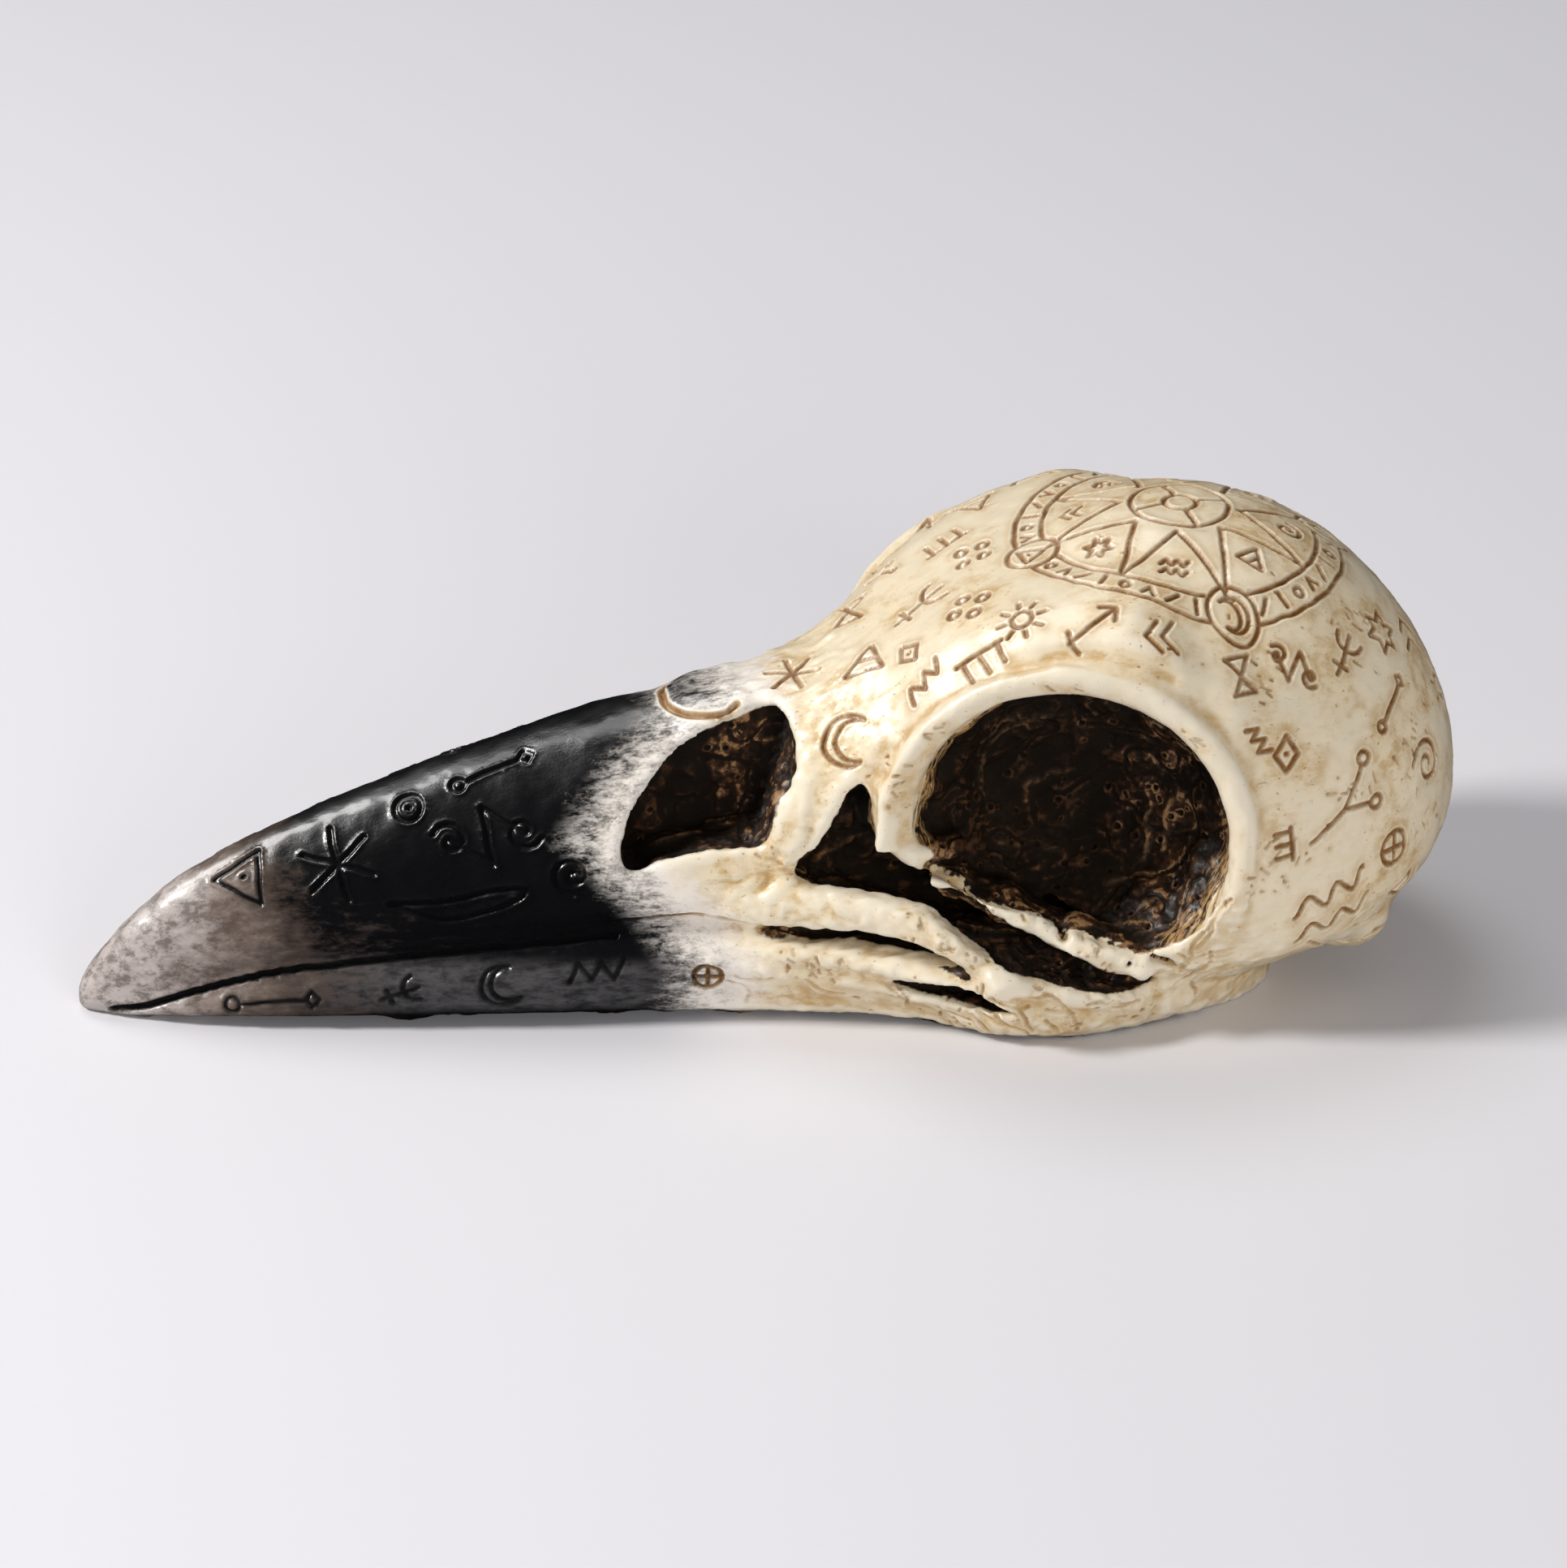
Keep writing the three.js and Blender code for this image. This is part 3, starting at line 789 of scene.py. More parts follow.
# (mark, near this point, half its size in mm, turned by so many degrees)
BONE_MARKS = (
    ("snowflake", (3.5, -2.5, 49.8), 4.2, 10), ("new_moon", (9.4, -18.4, 46), 3.9, -12),
    ("peak", (13.6, -8.4, 54.4), 3.6, -20), ("fork", (22.6, -3, 60), 4.8, -70),
    ("zigzag", (20.4, -20.6, 56), 3.6, 24), ("seeds", (28.6, -11.4, 62.8), 3.5, 12),
    ("sun", (34.8, -20.6, 64.8), 3.8, 0), ("seeds", (31.6, 3.4, 64.5), 3.3, 40),
    ("comb", (28.6, -24.2, 60), 3.8, 20), ("lozenge", (19.4, -13.6, 57), 2.5, 20),
    ("arrow", (44.4, -26.2, 66.2), 4, 0), ("chevrons", (53.4, -28.6, 64.6), 3.2, 90),
    ("hourglass", (66, -30.4, 58.8), 3.0, 12), ("tendril", (74.6, -27.6, 58.4), 4.4, -8),
    ("fork", (83, -22.6, 57.4), 3.8, -30), ("star", (90.4, -15, 57), 3.6, 0),
    ("lozenge", (72, -33, 46.6), 2.7, 0), ("stem", (81.2, -31.4, 37), 6.4, 0),
    ("link", (91, -23, 49), 5.2, 55), ("shell", (96.4, -20.6, 37.4), 4, 0),
    ("field", (90.4, -27.4, 27), 3.2, 0), ("water", (80.4, -33, 20.4), 6.4, 12),
    ("valley", (93.4, -24, 17.6), 2.7, 10), ("sun", (101.4, -8, 44), 4.2, 0), ("peak", (103, -8, 29), 4, 0),
    ("chevrons", (97, -9, 54), 3.4, 30), ("zigzag", (67.6, -33.8, 49.4), 2.6, -58),
    ("comb", (71.6, -35.6, 33), 2.6, -84), ("seeds", (99.4, -15, 20), 2.6, 0),
    ("field", (-11.6, -17.6, 9.4), 2.5, 0),
)
HORN_MARKS = (
    ("valley", (-79, -5.8, 22.4), 4.4, 28), ("snowflake", (-65.4, -8.4, 25.6), 5.6, 12),
    ("ring_and_dot", (-54.6, -6.4, 33.4), 2.4, 0), ("tendril", (-43.4, -11.6, 30.4), 8, 30),
    ("link", (-42, -5.4, 38.2), 6.4, 14), ("shell", (-31, -15, 25), 3.2, 90),
    ("zigzag", (-28, -17, 9.6), 4.2, 4), ("new_moon", (-42, -15.6, 7.4), 3.2, 20),
    ("fork", (-57, -13.6, 6.4), 3.1, -70), ("link", (-76, -10.6, 4.6), 7.2, 4),
)

# Everything drawn at random, and the drift of a hand-cut line, comes out the same each time.
SHAKE_SEED = 11
wobble = random.Random(SHAKE_SEED)
noise.seed_set(SHAKE_SEED)


def on_surface(skin, mark, near, size, turn, round_top=False):
    """A flat mark's lines laid on the skin near a point, a little shaky as a hand cuts them."""
    centre, facing, _, _ = skin.tree.find_nearest(near)
    facing = Vector((0, 0, 1)) if round_top else (facing + (Vector(near) - centre) * 0.02).normalized()
    along_x = Vector((1, 0, 0)) if abs(facing.x) < 0.9 else Vector((0, 1, 0))
    across = (along_x - facing * along_x.dot(facing)).normalized()
    upward = facing.cross(across)
    cos_turn, sin_turn = math.cos(math.radians(turn)), math.sin(math.radians(turn))
    laid = []
    for line in mark:
        shake = Vector((wobble.uniform(-9, 9), wobble.uniform(-9, 9), 0))
        points = []
        for (x0, y0), (x1, y1) in zip(line, line[1:]):
            steps = max(1, round(math.hypot(x1 - x0, y1 - y0) * size / LINE_STEP))
            points += [(x0 + (x1 - x0) * i / steps, y0 + (y1 - y0) * i / steps) for i in range(steps)]
        points.append(line[-1])
        path = []
        for x, y in points:
            drift = noise.noise_vector(shake + Vector((x, y, 0)) * size / 3) * 0.22
            u = (x * cos_turn - y * sin_turn) * size + drift.x
            v = (x * sin_turn + y * cos_turn) * size + drift.y
            flat = centre + across * u + upward * v
            hit = skin.tree.ray_cast(flat + facing * 30, -facing, 60)[0]
            if hit is None or (hit - flat).length > 14 + size / 2:
                hit = skin.tree.find_nearest(flat)[0]
            path.append(tuple(hit))
        laid.append(path)
    return laid


def mirrored(lines):
    return [[(x, -y, z) for x, y, z in line] for line in lines]


skin = Surface(casting)
bone_lines = on_surface(skin, COMPASS, (62, 0, 73), 24.5, 9, round_top=True)
horn_lines = []
for lines, marks, swap in ((bone_lines, BONE_MARKS, 5), (horn_lines, HORN_MARKS, 3)):
    for i, (name, near, size, turn) in enumerate(marks):
        lines += on_surface(skin, MARKS[name], near, size, turn)
        other = marks[(i * swap + 2) % len(marks)][0]
        if near[1] < -3:
            lines += mirrored(on_surface(skin, MARKS[other], near, size, -turn))

NICKS = 620
nick_lines = []
while len(nick_lines) < NICKS:
    x, z = wobble.uniform(-8, 104), wobble.uniform(2, 70)
    if wobble.random() > (0.9 if z < 22 or x > 64 else 0.35):
        continue
    side = wobble.choice((-1, 1))
    lean = math.radians(wobble.gauss(-18, 34))
    for _ in range(wobble.randrange(2, 9)):
        lean += wobble.gauss(0, 0.3)
        start = (x + wobble.gauss(0, 2.2), side * 60, z + wobble.gauss(0, 1.3))
        spot, facing, _, _ = skin.tree.ray_cast(start, (0, -side, 0))
        if spot is None:
            continue
        ahead = Vector((math.cos(lean), 0, math.sin(lean)))
        ahead = (ahead - facing * ahead.dot(facing)) * wobble.choice((0.1, 0.4, 0.7, 1.1, 1.7))
        nick_lines.append([tuple(spot - ahead / 2), tuple(spot + ahead / 2)])

# Folds where the bones meet: each is (middle x, z), (spread in x, z), how many, and their lean in degrees.
FOLDS = (
    ((35, 8), (7, 2.6), 20, -24), ((27, 9), (3, 2.6), 8, -50), ((60, 13), (2.4, 6), 12, 62),
    ((84, 12), (5, 3), 9, -12), ((6, 9), (9, 1.6), 7, -14),
)
fold_lines = []
for (middle_x, middle_z), (wide, high), count, lean in FOLDS:
    for _ in range(count):
        x, z = wobble.gauss(middle_x, wide), wobble.gauss(middle_z, high)
        heading = math.radians(wobble.gauss(lean, 24))
        step = wobble.uniform(0.5, 1.4)
        line = []
        for _ in range(6):
            spot = skin.tree.ray_cast((x, -60, z), (0, 1, 0))[0]
            if spot is None or line and abs(spot.y - line[-1][1]) > 1.6:
                break
            line.append(tuple(spot))
            x, z = x + step * math.cos(heading), z + step * math.sin(heading)
            heading += wobble.gauss(0, 0.28)
        if len(line) > 2:
            fold_lines.append(line)
fold_lines = both_sides(fold_lines)

# The tongue of horn at the root of the beak, and the mouth, are outlined with deeper and wider cuts.
TONGUE_LINE = [
    (-15.6, 0, 45.8), (-15.4, -2.6, 45.6), (-13.6, -5.4, 45.6), (-10.6, -7.2, 45.8), (-7.2, -8, 46.4),
    (-5.4, -7, 47.4),
]
MOUTH_KEYS = [(x, -beak_half(x) * 1.02, mouth(x) + 0.1) for x in range(-100, 5, 5)]
SLIT_LINE = [(-2, -19.4, 15.6), (4, -21.4, 15.8), (9.3, -23.6, 15.7), (18.5, -27.4, 14.6), (26, -30.6, 12.3)]
LOOP_LINE = [
    (-58, -11, 20), (-50, -12.4, 20.6), (-42, -13.4, 22.4), (-38, -14, 22.6), (-41, -13.8, 20.2),
    (-50, -12.8, 17.8), (-58, -11, 20),
]
tongue = both_sides([skin.laid(drawn_line(TONGUE_LINE, 0.7))])
mouth_cut = both_sides([skin.laid(drawn_line(MOUTH_KEYS, 1.0))])
horn_lines += both_sides([skin.laid(drawn_line(LOOP_LINE, 0.8))])
bone_lines += tongue

# The skin is divided twice as finely wherever a cut or a hollow needs it.
FINE_BESIDE_CUT_MM = 1.3
HOLLOW_FROM_MM = 2.2
rows = places(casting)
beside_cuts = reach_to(rows, bone_lines + horn_lines + mouth_cut + fold_lines + nick_lines, 2)
hull_tree = Surface(hull).tree


def depth_inside(rows):
    """How deep each place lies under the outside of the uncut casting."""
    depths = np.empty(len(rows))
    for i, place in enumerate(rows.tolist()):
        at, facing, _, far = hull_tree.find_nearest(place)
        depths[i] = far if (Vector(place) - at).dot(facing) < 0 else -far
    return depths


depth = depth_inside(rows)
fine = (beside_cuts < FINE_BESIDE_CUT_MM) | ((depth > HOLLOW_FROM_MM) & (rows[:, 2] > 3))
relief = bmesh.new()
relief.from_mesh(casting)
relief.verts.ensure_lookup_table()
fine = fine.tolist()
split = [edge for edge in relief.edges if fine[edge.verts[0].index] and fine[edge.verts[1].index]]
made = bmesh.ops.subdivide_edges(relief, edges=split, cuts=1, use_grid_fill=True)
softened = [part for part in dict.fromkeys(made["geom_inner"]) if isinstance(part, bmesh.types.BMVert)]
for _ in range(2):
    bmesh.ops.smooth_vert(
        relief, verts=softened, factor=0.5, use_axis_x=True, use_axis_y=True, use_axis_z=True
    )
relief.to_mesh(casting)
relief.free()

rows = places(casting)
out = facings(casting)
mean = neighbours(casting)
to_bone_cut = reach_to(rows, bone_lines, 3)
to_horn_cut = reach_to(rows, horn_lines, 3)
to_nick = reach_to(rows, nick_lines, 1.5)
to_fold = reach_to(rows, fold_lines, 3)
to_mouth = reach_to(rows, mouth_cut, 3)
to_tongue = reach_to(rows, tongue, 3)
to_slit = reach_to(rows, both_sides([drawn_line(SLIT_LINE)]), 5)


def engraved(away, half_width, depth, burr):
    """How a tool cut moves the skin at a distance from its middle."""
    return -depth * (1 - eased(away, 0.15 * half_width, 1.45 * half_width)) + burr * np.exp(
        -(((away - 1.75 * half_width) / (0.5 * half_width)) ** 2)
    )


pressure = 1 + 0.3 * grain(rows, 3, seed=3, octaves=1)
lift = engraved(to_bone_cut, CUT_HALF_WIDTH, CUT_DEPTH, BURR) * pressure
lift += engraved(to_horn_cut, CUT_HALF_WIDTH, 0.42, 0.2) * pressure
lift += engraved(to_nick, 0.24, 0.24, 0.05)
lift += engraved(to_fold, 0.34, 0.24, 0.12) * pressure
lift += engraved(to_mouth, 0.46, 0.8, 0.16)
lift += engraved(to_tongue, 0.6, 0.35, 0.1)

# ---------------------------------------------------------------------------
# Inside the hollows the master was left rough: soft lumps, veins and worm holes, fading out towards the
# ledges of bone that cross the floor of each eye socket. The rim ends in a ragged, streaky edge.
# ---------------------------------------------------------------------------
PITS = 300
VEINS = 26

depth = depth_inside(rows)
to_rim = reach_to(rows, both_sides([HOOK_LINE]), 11)
to_ledge = reach_to(rows, both_sides(LEDGE_LINES), 8)
to_crest = reach_to(rows, both_sides(CREST_LINES), 6)
rim_turn = np.arctan2(rows[:, 0] - RIM_MIDDLE.x, rows[:, 2] - RIM_MIDDLE.z)
along_rim = np.stack([rim_turn * 4, to_rim * 1.4, np.sign(rows[:, 1]) * 7], 1)
streaks = grain(along_rim, 1, seed=8, octaves=2)
front = eased(-rows[:, 0], -30, -18) * (rows[:, 0] > 8)
rim_depth = to_rim + 1.7 * streaks - 0.9 * front
inside = eased(depth, 0.5, 1.8) * eased(rim_depth, 2.0, 3.9) * (rows[:, 2] > 0.01)
# The slit under each cheek bar is painted as dark as the hollows, out to its outer edge.
inside = np.maximum(inside, 1 - eased(to_slit, 0.9, 1.5))

inner = Surface(casting).tree
pits, veins = [], []
deep_rows = rows[(inside > 0.9) & (rows[:, 1] < 0)]
for _ in range(PITS):
    heart = Vector(deep_rows[wobble.randrange(len(deep_rows))].tolist())
    pits.append((heart, wobble.uniform(0.22, 0.5)))
pits += [(Vector((49.4, -33.4, 13.7)), 0.62), (Vector((52.4, -32.8, 12.3)), 0.7)]
for _ in range(VEINS):
    at = Vector(deep_rows[wobble.randrange(len(deep_rows))].tolist())
    heading = Vector((wobble.uniform(-1, 1), 0, wobble.uniform(-1, 1))).normalized()
    line = [tuple(at)]
    for _ in range(wobble.randrange(4, 12)):
        heading = (heading + Vector((wobble.uniform(-0.7, 0.7), 0, wobble.uniform(-0.7, 0.7)))).normalized()
        at = inner.find_nearest(at + heading * 1.1)[0]
        line.append(tuple(at))
    veins.append(line)
to_vein = reach_to(rows, both_sides(veins), 1.5)
to_pit = np.full(len(rows), 9.0)
for heart, radius in pits:
    for side in (1, -1):
        centre = np.array((heart.x, heart.y * side, heart.z))
        near = np.all(np.abs(rows - centre) < 2, axis=1).nonzero()[0]
        to_pit[near] = np.minimum(to_pit[near], np.sqrt(((rows[near] - centre) ** 2).sum(1)) / radius)

lumps = grain(rows, 8, seed=4, octaves=2)
creases = np.abs(grain(rows, 8, seed=5, octaves=2))
fine_grain = grain(rows, 1.3, seed=6, octaves=2)
coarseness = eased(grain(rows, 12, seed=7, octaves=1), -0.25, 0.3)
rough = 1.3 * lumps - 0.3 * np.exp(-((creases / 0.06) ** 2)) + (0.03 + 0.10 * coarseness) * fine_grain
rough += 0.34 * np.exp(-((to_vein / 0.42) ** 2))
lift += -0.55 * (1 - eased(to_pit, 0.45, 1.0)) + 0.16 * np.exp(-(((to_pit - 1.35) / 0.3) ** 2))
lift += inside * (0.35 + 0.65 * eased(to_ledge, 2, 5)) * rough
lift += 0.10 * np.exp(-((depth / 2.0) ** 2)) * fine_grain * (to_rim > 3.4) * (inside > 0.02)
moved(casting, rows + out * lift[:, None])

# ---------------------------------------------------------------------------
# Where the paint goes. Ink is rubbed into the cuts, a brown wash stays in every crevice and fills the
# hollows, black lacquer covers the beak, and the raised parts are rubbed pale again.
# ---------------------------------------------------------------------------
BLACK_EDGE = ((0, 10, 20, 30, 40, 45.6, 47.4), (-13, -12, -18.5, -28, -20.5, -12.5, -7.5))

rows = places(casting)
out = facings(casting)
soft, hollowness = rows, []
for step in range(1, 25):
    soft = mean(soft)
    if step in (3, 9, 24):
        hollowness.append(((soft - rows) * out).sum(1))
near_crevice, crevice, wide_crevice = hollowness

nick_strength = 0.5 + 0.7 * grain(rows, 2.5, seed=9, octaves=1)
ink = np.maximum.reduce([
    1 - eased(to_bone_cut, 0.20, 0.54),
    0.85 * (1 - eased(to_horn_cut, 0.24, 0.58)),
    0.9 * (1 - eased(to_tongue, 0.4, 0.95)),
    np.clip(nick_strength, 0, 0.9) * (1 - eased(to_nick, 0.08, 0.36)),
    np.clip(nick_strength - 0.25, 0, 0.5) * (1 - eased(to_fold, 0.08, 0.4)),
    (0.35 + 0.65 * (rows[:, 0] < -12)) * (1 - eased(to_mouth, 0.4, 0.85)),
])
stain = np.maximum.reduce([
    1 - eased(to_bone_cut, 0.4, 2.4),
    0.6 * (1 - eased(to_nick, 0.2, 1.2)),
    0.8 * (1 - eased(to_tongue, 0.5, 2)),
    0.9 * (1 - eased(to_fold, 0.2, 1.5)),
    eased(rim_depth, 0.8, 2.4) * (depth > 0.3) * (to_rim < 6),
    0.7 * (1 - eased(to_rim, 2, 4.5)),
    # Darker ochre towards the bottom, from the root of the beak back.
    0.9 * (1 - eased(rows[:, 2], 3, 13)) * eased(rows[:, 0], -16, -4),
])
crest = (1 - eased(to_crest + 0.8 * lumps + 1.5 * fine_grain, 1.0, 2.6)) * eased(out[:, 2], -0.4, 0.1)
hollow = np.maximum(inside * (1 - 0.95 * crest), 1 - eased(to_pit, 0.5, 1.0))
amber = np.clip(
    0.05 + 0.65 * eased(rows[:, 0], 48, 60) + 0.8 * (1 - eased(to_crest, 2.5, 7))
    + 0.28 * (rows[:, 0] < 4) * eased(rows[:, 0], -14, -6), 0, 1,
)
rim_glow = (1 - eased(rim_depth, 3.0, 8.4)) * (rows[:, 2] > 12)
black = np.interp(rows[:, 2], *BLACK_EDGE) - rows[:, 0] - 14 * (1 - eased(to_tongue, 0.4, 1.3))

for name, values in {
    "ink": ink, "stain": stain, "hollow": hollow, "amber": amber, "rim_glow": rim_glow, "black": black,
    "pinhole": 1 - eased(to_pit, 0.6, 1.1), "vein": np.exp(-((to_vein / 0.5) ** 2)),
    "fine_crevice": near_crevice, "crevice": crevice, "wide_crevice": wide_crevice,
}.items():
    casting.attributes.new(name, "FLOAT", "POINT").data.foreach_set("value", values.astype(np.float32))
for name, values in {"facing": out, "along_rim": along_rim}.items():
    vectors = casting.attributes.new(name, "FLOAT_VECTOR", "POINT").data
    vectors.foreach_set("vector", values.astype(np.float32).ravel())

# ---------------------------------------------------------------------------
# The paints, as they are laid on each other: ivory resin with ochre mottling, black lacquer with grey dry
# brushing at its ends and paler along the top of the tip, partly as a painted highlight, the dark wash of the
# hollows with amber rubbed over it, and the ink of the cuts.
# ---------------------------------------------------------------------------


def node(tree, kind, inputs=None, **settings):
    """A shader node with its settings, its inputs linked to a socket or set to a value."""
    made = tree.nodes.new("ShaderNode" + kind)
    for name, value in settings.items():
        setattr(made, name, value)
    for name, value in (inputs or {}).items():
        if isinstance(value, bpy.types.NodeSocket):
            tree.links.new(value, made.inputs[name])
        else:
            made.inputs[name].default_value = value
    return made


def remap(tree, value, low, high, to_low=0.0, to_high=1.0):
    return node(tree, "MapRange", {
        "Value": value, "From Min": low, "From Max": high, "To Min": to_low, "To Max": to_high,
    }, interpolation_type="SMOOTHSTEP").outputs["Result"]


def plus(tree, first, second):
    return node(tree, "Math", {0: first, 1: second}, operation="ADD").outputs[0]


def times(tree, first, second):
    return node(tree, "Math", {0: first, 1: second}, operation="MULTIPLY").outputs[0]


def scaled(tree, value, factor, shift):
    """The value times the factor, plus the shift."""
    return node(tree, "Math", {0: value, 1: factor, 2: shift}, operation="MULTIPLY_ADD").outputs[0]


def over(tree, below, *layers):
    """A colour with others laid over it in turn, each given as (amount, colour)."""
    for amount, above in layers:
        below = node(tree, "Mix", {0: amount, 6: below, 7: above}, data_type="RGBA").outputs[2]
    return below


def speckle(tree, place, per_mm, detail=3.0, rough=0.55, stretch=(1, 1, 1)):
    """Noise whose lumps are about 1 / per_mm mm across, drawn out along an axis by less stretch."""
    spread = node(tree, "Mapping", {"Vector": place, "Scale": [1000 * per_mm * s for s in stretch]})
    return node(tree, "TexNoise", {
        "Vector": spread.outputs[0], "Scale": 1.0, "Detail": detail, "Roughness": rough,
    }).outputs["Fac"]


def paint(name, masks, build):
    """A paint as a node group: masks in, and its colour, roughness and height out."""
    tree = bpy.data.node_groups.new(name, "ShaderNodeTree")
    tree.interface.new_socket("Place", in_out="INPUT", socket_type="NodeSocketVector")
    for mask in masks:
        tree.interface.new_socket(mask, in_out="INPUT", socket_type="NodeSocketFloat")
    tree.interface.new_socket("Colour", in_out="OUTPUT", socket_type="NodeSocketColor")
    tree.interface.new_socket("Roughness", in_out="OUTPUT", socket_type="NodeSocketFloat")
    tree.interface.new_socket("Height", in_out="OUTPUT", socket_type="NodeSocketFloat")
    given = tree.nodes.new("NodeGroupInput").outputs
    results = tree.nodes.new("NodeGroupOutput").inputs
    for socket, value in zip(results, build(tree, *list(given)[: len(masks) + 1])):
        if isinstance(value, bpy.types.NodeSocket):
            tree.links.new(value, socket)
        else:
            socket.default_value = value
    return tree


IVORY = (0.79, 0.66, 0.45, 1)
PALE_IVORY = (0.84, 0.765, 0.61, 1)
OCHRE = (0.55, 0.355, 0.14, 1)
DEEP_OCHRE = (0.33, 0.19, 0.075, 1)
INK = (0.21, 0.086, 0.018, 1)
LACQUER = (0.0045, 0.0045, 0.0055, 1)
CHARCOAL = (0.085, 0.082, 0.085, 1)
SMOKE_BROWN = (0.075, 0.053, 0.042, 1)
DRY_GREY = (0.20, 0.155, 0.13, 1)
TIP_GREY = (0.52, 0.465, 0.44, 1)
HALO_WHITE = (0.87, 0.82, 0.77, 1)
HOLLOW_BLACK = (0.011, 0.0075, 0.005, 1)
UMBER = (0.060, 0.025, 0.010, 1)
AMBER = (0.30, 0.165, 0.07, 1)
BONE_GLOSS, LACQUER_GLOSS, HOLLOW_GLOSS = 0.12, 0.3, 0.03


def ivory_coats(tree, place, crevice, wide_crevice, stain, ink):
    """Ivory resin under an ochre wash that pools in the crevices, with worn edges, flecks and inked cuts."""
    broad = speckle(tree, place, 0.07, 3)
    patches = speckle(tree, place, 0.26, 4, 0.6)
    streaks = speckle(tree, place, 0.9, 4, 0.65, (0.35, 1, 1))
    specks = speckle(tree, place, 1.5, 2, 0.6, (0.6, 1, 1))
    mottled = scaled(tree, patches, 0.6, times(tree, streaks, 0.4))
    wash = remap(tree, mottled, 0.44, 0.64, 0, 0.85)
    wash = times(tree, wash, remap(tree, broad, 0.36, 0.62, 0.3, 1.0))
    pooled = plus(
        tree, remap(tree, crevice, 0.02, 0.22, 0, 0.75), remap(tree, wide_crevice, 0.1, 1.2, 0, 0.45)
    )
    pooled = times(tree, pooled, remap(tree, streaks, 0.3, 0.6, 0.35, 1.1))
    worn = plus(
        tree, remap(tree, crevice, -0.02, -0.2, 0, 0.6), remap(tree, wide_crevice, -0.15, -0.9, 0, 0.35)
    )
    stained = times(tree, stain, remap(tree, patches, 0.35, 0.62, 0.15, 0.6))
    flecks = times(tree, remap(tree, specks, 0.665, 0.72), remap(tree, broad, 0.35, 0.6, 0.15, 0.9))
    inked = times(tree, ink, remap(tree, mottled, 0.38, 0.6, 0.6, 1.0))
    colour = over(
        tree, IVORY,
        (wash, OCHRE),
        (remap(tree, broad, 0.62, 0.42, 0, 0.45), PALE_IVORY),
        (stained, OCHRE),
        (node(tree, "Clamp", {0: pooled}).outputs[0], OCHRE),
        (remap(tree, pooled, 0.8, 1.5, 0, 0.7), DEEP_OCHRE),
        (worn, PALE_IVORY),
        (times(tree, flecks, 0.75), DEEP_OCHRE),
        (inked, INK),
    )
    dull = scaled(tree, patches, 0.22, 0.24)
    height = scaled(tree, streaks, 0.6, times(tree, flecks, -1.2))
    return colour, scaled(tree, inked, 0.25, dull), height


def lacquer_coats(tree, place, black, crevice, ink):
    """Black lacquer, rubbed grey at the tip and paler on its top, partly a painted highlight; charcoal on the
    lower beak; a pale fringe.
    """
    x, _, z = node(tree, "SeparateXYZ", {0: place}).outputs
    patches = speckle(tree, place, 0.2, 4, 0.6)
    brushed = speckle(tree, place, 0.8, 5, 0.72, (0.35, 1, 1))
    dabs = speckle(tree, place, 2.4, 3, 0.6)
    tip = remap(tree, x, -0.062, -0.104, 0, 1.1)
    low = times(tree, remap(tree, z, 0.028, 0.008), remap(tree, x, -0.042, -0.075))
    tip = scaled(tree, low, 0.3, tip)
    # The top of the tip is paler: partly dry brushing, and partly a painted highlight for the sheen along the
    # ridge.
    ridge_rub_and_highlight = times(tree, remap(tree, z, 0.009, 0.02), remap(tree, x, -0.068, -0.09))
    tip = scaled(tree, ridge_rub_and_highlight, 0.3, tip)
    rubbed = plus(tree, tip, scaled(tree, brushed, 0.8, -0.4))
    rubbed = plus(tree, rubbed, scaled(tree, patches, 0.66, -0.33))
    rubbed = plus(tree, rubbed, remap(tree, crevice, 0.04, 0.16, 0, -0.7))
    lower_beak = remap(tree, z, 0.0125, 0.0095)
    lower_beak = times(tree, lower_beak, remap(tree, x, 0.004, -0.03, 0.3, 1))
    lower_beak = times(tree, lower_beak, remap(tree, z, 0.002, 0.0045, 0.15, 1))
    charcoal = times(tree, lower_beak, remap(tree, brushed, 0.3, 0.65, 0.2, 1.0))
    film = speckle(tree, place, 0.5, 6, 0.75, (0.6, 1, 1))
    film = times(tree, remap(tree, film, 0.44, 0.62, 0, 0.7), remap(tree, rubbed, 0.35, 0.8))
    fringe = times(tree, remap(tree, black, 8, 0), remap(tree, brushed, 0.42, 0.62))
    colour = over(
        tree, LACQUER,
        (charcoal, CHARCOAL),
        (remap(tree, rubbed, 0.12, 0.5, 0, 0.9), SMOKE_BROWN),
        (remap(tree, rubbed, 0.42, 0.85, 0, 0.95), DRY_GREY),
        (remap(tree, rubbed, 0.7, 1.5, 0, 0.95), TIP_GREY),
        (film, SMOKE_BROWN),
        (times(tree, fringe, 0.8), HALO_WHITE),
        (times(tree, ink, 0.95), LACQUER),
    )
    rough = scaled(tree, patches, 0.3, 0.16)
    rough = scaled(tree, remap(tree, rubbed, 0.1, 0.9), 0.04, rough)
    height = scaled(tree, brushed, 1.1, times(tree, dabs, 0.3))
    return colour, rough, height


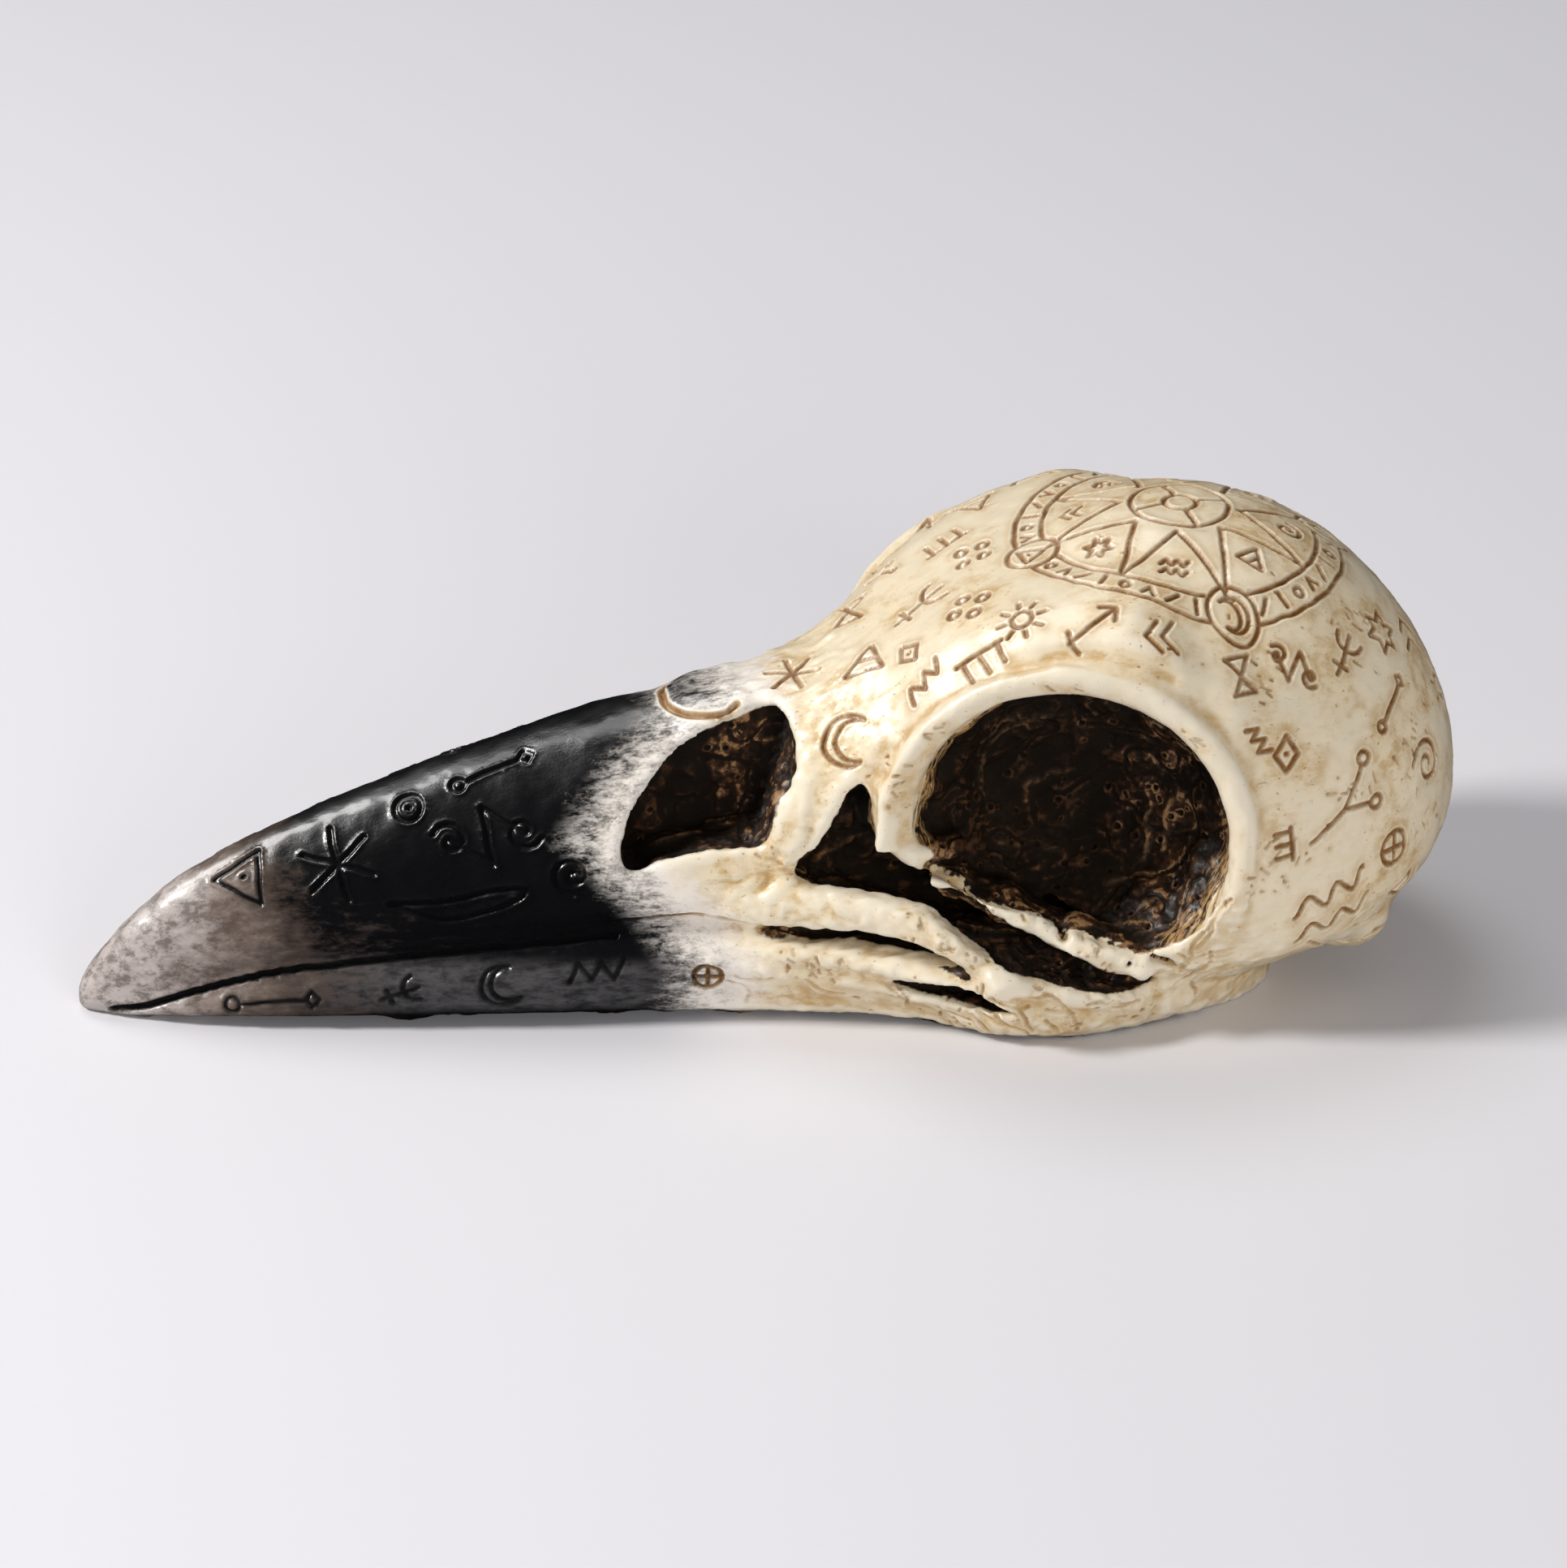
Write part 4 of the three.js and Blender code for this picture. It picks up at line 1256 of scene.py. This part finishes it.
def hollow_coats(tree, place, amber, rim_glow, crevice, fine_crevice, vein, pinhole):
    """The dark wash, rubbed back to amber on what is raised, and in streaks that run along the eye rim."""
    rim_place = node(tree, "Attribute", attribute_name="along_rim").outputs["Vector"]
    hairs = node(tree, "TexNoise", {
        "Vector": rim_place, "Scale": 2.0, "Detail": 4.0, "Roughness": 0.7,
    }).outputs["Fac"]
    patches = speckle(tree, place, 0.22, 4, 0.6)
    streaks = speckle(tree, place, 0.9, 4, 0.7)
    raised = plus(
        tree, remap(tree, crevice, 0.06, -0.2, 0.1, 1), remap(tree, fine_crevice, 0.0, -0.05, 0, 0.6)
    )
    rubbed = times(tree, raised, remap(tree, streaks, 0.36, 0.66, 0.2, 1.25))
    rubbed = times(tree, rubbed, remap(tree, patches, 0.42, 0.6, 0.15, 1.15))
    rubbed = times(tree, times(tree, rubbed, amber), 1.7)
    washed = remap(tree, rubbed, 0.0, 0.24)
    brushed = times(tree, remap(tree, rim_glow, 0.0, 0.9, 0, 1.7), remap(tree, hairs, 0.42, 0.6, 0.1, 1.0))
    rubbed = plus(tree, rubbed, brushed)
    lit_vein = times(tree, vein, remap(tree, streaks, 0.4, 0.65, 0.1, 0.8))
    colour = over(
        tree, HOLLOW_BLACK,
        (washed, UMBER),
        (remap(tree, rubbed, 0.25, 0.95), AMBER),
        (remap(tree, brushed, 0.75, 1.2, 0, 0.6), OCHRE),
        (times(tree, lit_vein, remap(tree, amber, 0, 0.8, 0.2, 0.8)), AMBER),
        (pinhole, HOLLOW_BLACK),
    )
    return colour, remap(tree, streaks, 0.3, 0.7, 0.32, 0.6), times(tree, streaks, 1.6)


IVORY_MASKS = ("crevice", "wide_crevice", "stain", "ink")
LACQUER_MASKS = ("black", "crevice", "ink")
HOLLOW_MASKS = ("amber", "rim_glow", "crevice", "fine_crevice", "vein", "pinhole")
ivory_paint = paint("ivory_paint", IVORY_MASKS, ivory_coats)
lacquer_paint = paint("lacquer_paint", LACQUER_MASKS, lacquer_coats)
hollow_paint = paint("hollow_paint", HOLLOW_MASKS, hollow_coats)


def painted(name, with_lacquer, with_ivory):
    """The material of a length of the casting, with the paints that reach it."""
    made, tree, shader = new_material(name)
    place = node(tree, "TexCoord").outputs["Object"]

    def mask(attribute):
        return node(tree, "Attribute", attribute_name=attribute).outputs["Fac"]

    def coat(group, masks):
        laid = node(tree, "Group", node_tree=group)
        tree.links.new(place, laid.inputs["Place"])
        for name in masks:
            tree.links.new(mask(name), laid.inputs[name])
        return laid.outputs["Colour"], laid.outputs["Roughness"], laid.outputs["Height"]

    def laid_over(amount, below, above):
        rough, height = (
            node(tree, "Mix", {0: amount, 2: under, 3: cover}, data_type="FLOAT").outputs[0]
            for under, cover in zip(below[1:], above[1:])
        )
        return over(tree, below[0], (amount, above[0])), rough, height

    if with_ivory:
        gloss = BONE_GLOSS
        coats = coat(ivory_paint, IVORY_MASKS)
        if with_lacquer:
            edge = mask("black")
            for lumps_per_mm, drawn_out, reach_mm in ((0.13, 1, 11), (0.75, 0.45, 11), (2.6, 0.6, 13)):
                dusting = speckle(tree, place, lumps_per_mm, 4, 0.7, (drawn_out, 1, 1))
                edge = scaled(tree, plus(tree, dusting, -0.5), reach_mm, edge)
            halo = times(tree, remap(tree, edge, -12, -4, 0, 0.8), remap(tree, mask("ink"), 0.5, 0.1))
            dusted = (over(tree, coats[0], (halo, HALO_WHITE)), coats[1], coats[2])
            gloss = remap(tree, edge, -6, 6, BONE_GLOSS, LACQUER_GLOSS)
            coats = laid_over(remap(tree, edge, -6, 6), dusted, coat(lacquer_paint, LACQUER_MASKS))
        ragged = speckle(tree, place, 0.8, 4, 0.7)
        inside = scaled(tree, plus(tree, ragged, -0.5), 0.9, mask("hollow"))
        coats = laid_over(remap(tree, inside, 0.2, 0.7), coats, coat(hollow_paint, HOLLOW_MASKS))
        tree.links.new(remap(tree, inside, 0.2, 0.7, gloss, HOLLOW_GLOSS), shader.inputs["Coat Weight"])
    else:
        shader.inputs["Coat Weight"].default_value = LACQUER_GLOSS
        coats = coat(lacquer_paint, LACQUER_MASKS)
    tree.links.new(coats[0], shader.inputs["Base Color"])
    tree.links.new(coats[1], shader.inputs["Roughness"])
    bump = node(tree, "Bump", {"Height": coats[2], "Strength": 0.35, "Distance": 0.00022})
    tree.links.new(bump.outputs[0], shader.inputs["Normal"])
    shader.inputs["Coat Roughness"].default_value = 0.12
    return made


# ---------------------------------------------------------------------------
# The casting is sawn across into lengths that fit the file, each a closed piece: the beak, its root with
# the nostrils, the brow, the eye sockets, the cheeks, the crown and the back of the skull.
# ---------------------------------------------------------------------------
lengths = (
    ("beak", -200, -40, "horn", painted("beak_lacquer", True, False), ("upper_beak", "lower_beak")),
    (
        "beak_root", -40, 4, "bone", painted("beak_root_paint", True, True),
        ("nasal_bone", "cheek_bar_left", "cheek_bar_right"),
    ),
    ("brow", 4, 26, "bone", painted("bone_paint", False, True), ("forehead", "jaw_left", "jaw_right")),
    ("eye_sockets", 26, 44, "bone", None, ("eye_rim_left", "eye_rim_right")),
    ("cheeks", 44, 62, "bone", None, ("jaw_joint_left", "jaw_joint_right")),
    ("crown", 62, 82, "bone", None, ("braincase",)),
    ("back_of_skull", 82, 200, "bone", None, ("skull_base",)),
)
casting.transform(Matrix.Scale(0.001, 4))
for name, start, end, slot, finish, stands_for in lengths:
    finish = finish or bpy.data.materials["bone_paint"]
    sawn = bmesh.new()
    sawn.from_mesh(casting)
    for cut_x, side in ((start, -1), (end, 1)):
        everything = [*sawn.verts, *sawn.edges, *sawn.faces]
        bmesh.ops.bisect_plane(
            sawn, geom=everything, plane_co=(cut_x * 0.001, 0, 0), plane_no=(side, 0, 0),
            clear_outer=True, dist=1e-7,
        )
    bmesh.ops.holes_fill(sawn, edges=[edge for edge in sawn.edges if edge.is_boundary], sides=0)
    data = bpy.data.meshes.new(name)
    sawn.to_mesh(data)
    sawn.free()
    facing = np.empty(len(data.vertices) * 3, dtype=np.float32)
    data.attributes["facing"].data.foreach_get("vector", facing)
    data.attributes.remove(data.attributes["facing"])
    data.polygons.foreach_set("use_smooth", [True] * len(data.polygons))
    data.normals_split_custom_set_from_vertices(facing.reshape(-1, 3).tolist())
    data.materials.append(finish)
    piece = bpy.data.objects.new(name, data)
    bpy.context.scene.collection.objects.link(piece)
    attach(piece, "root")
    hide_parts(*stands_for)
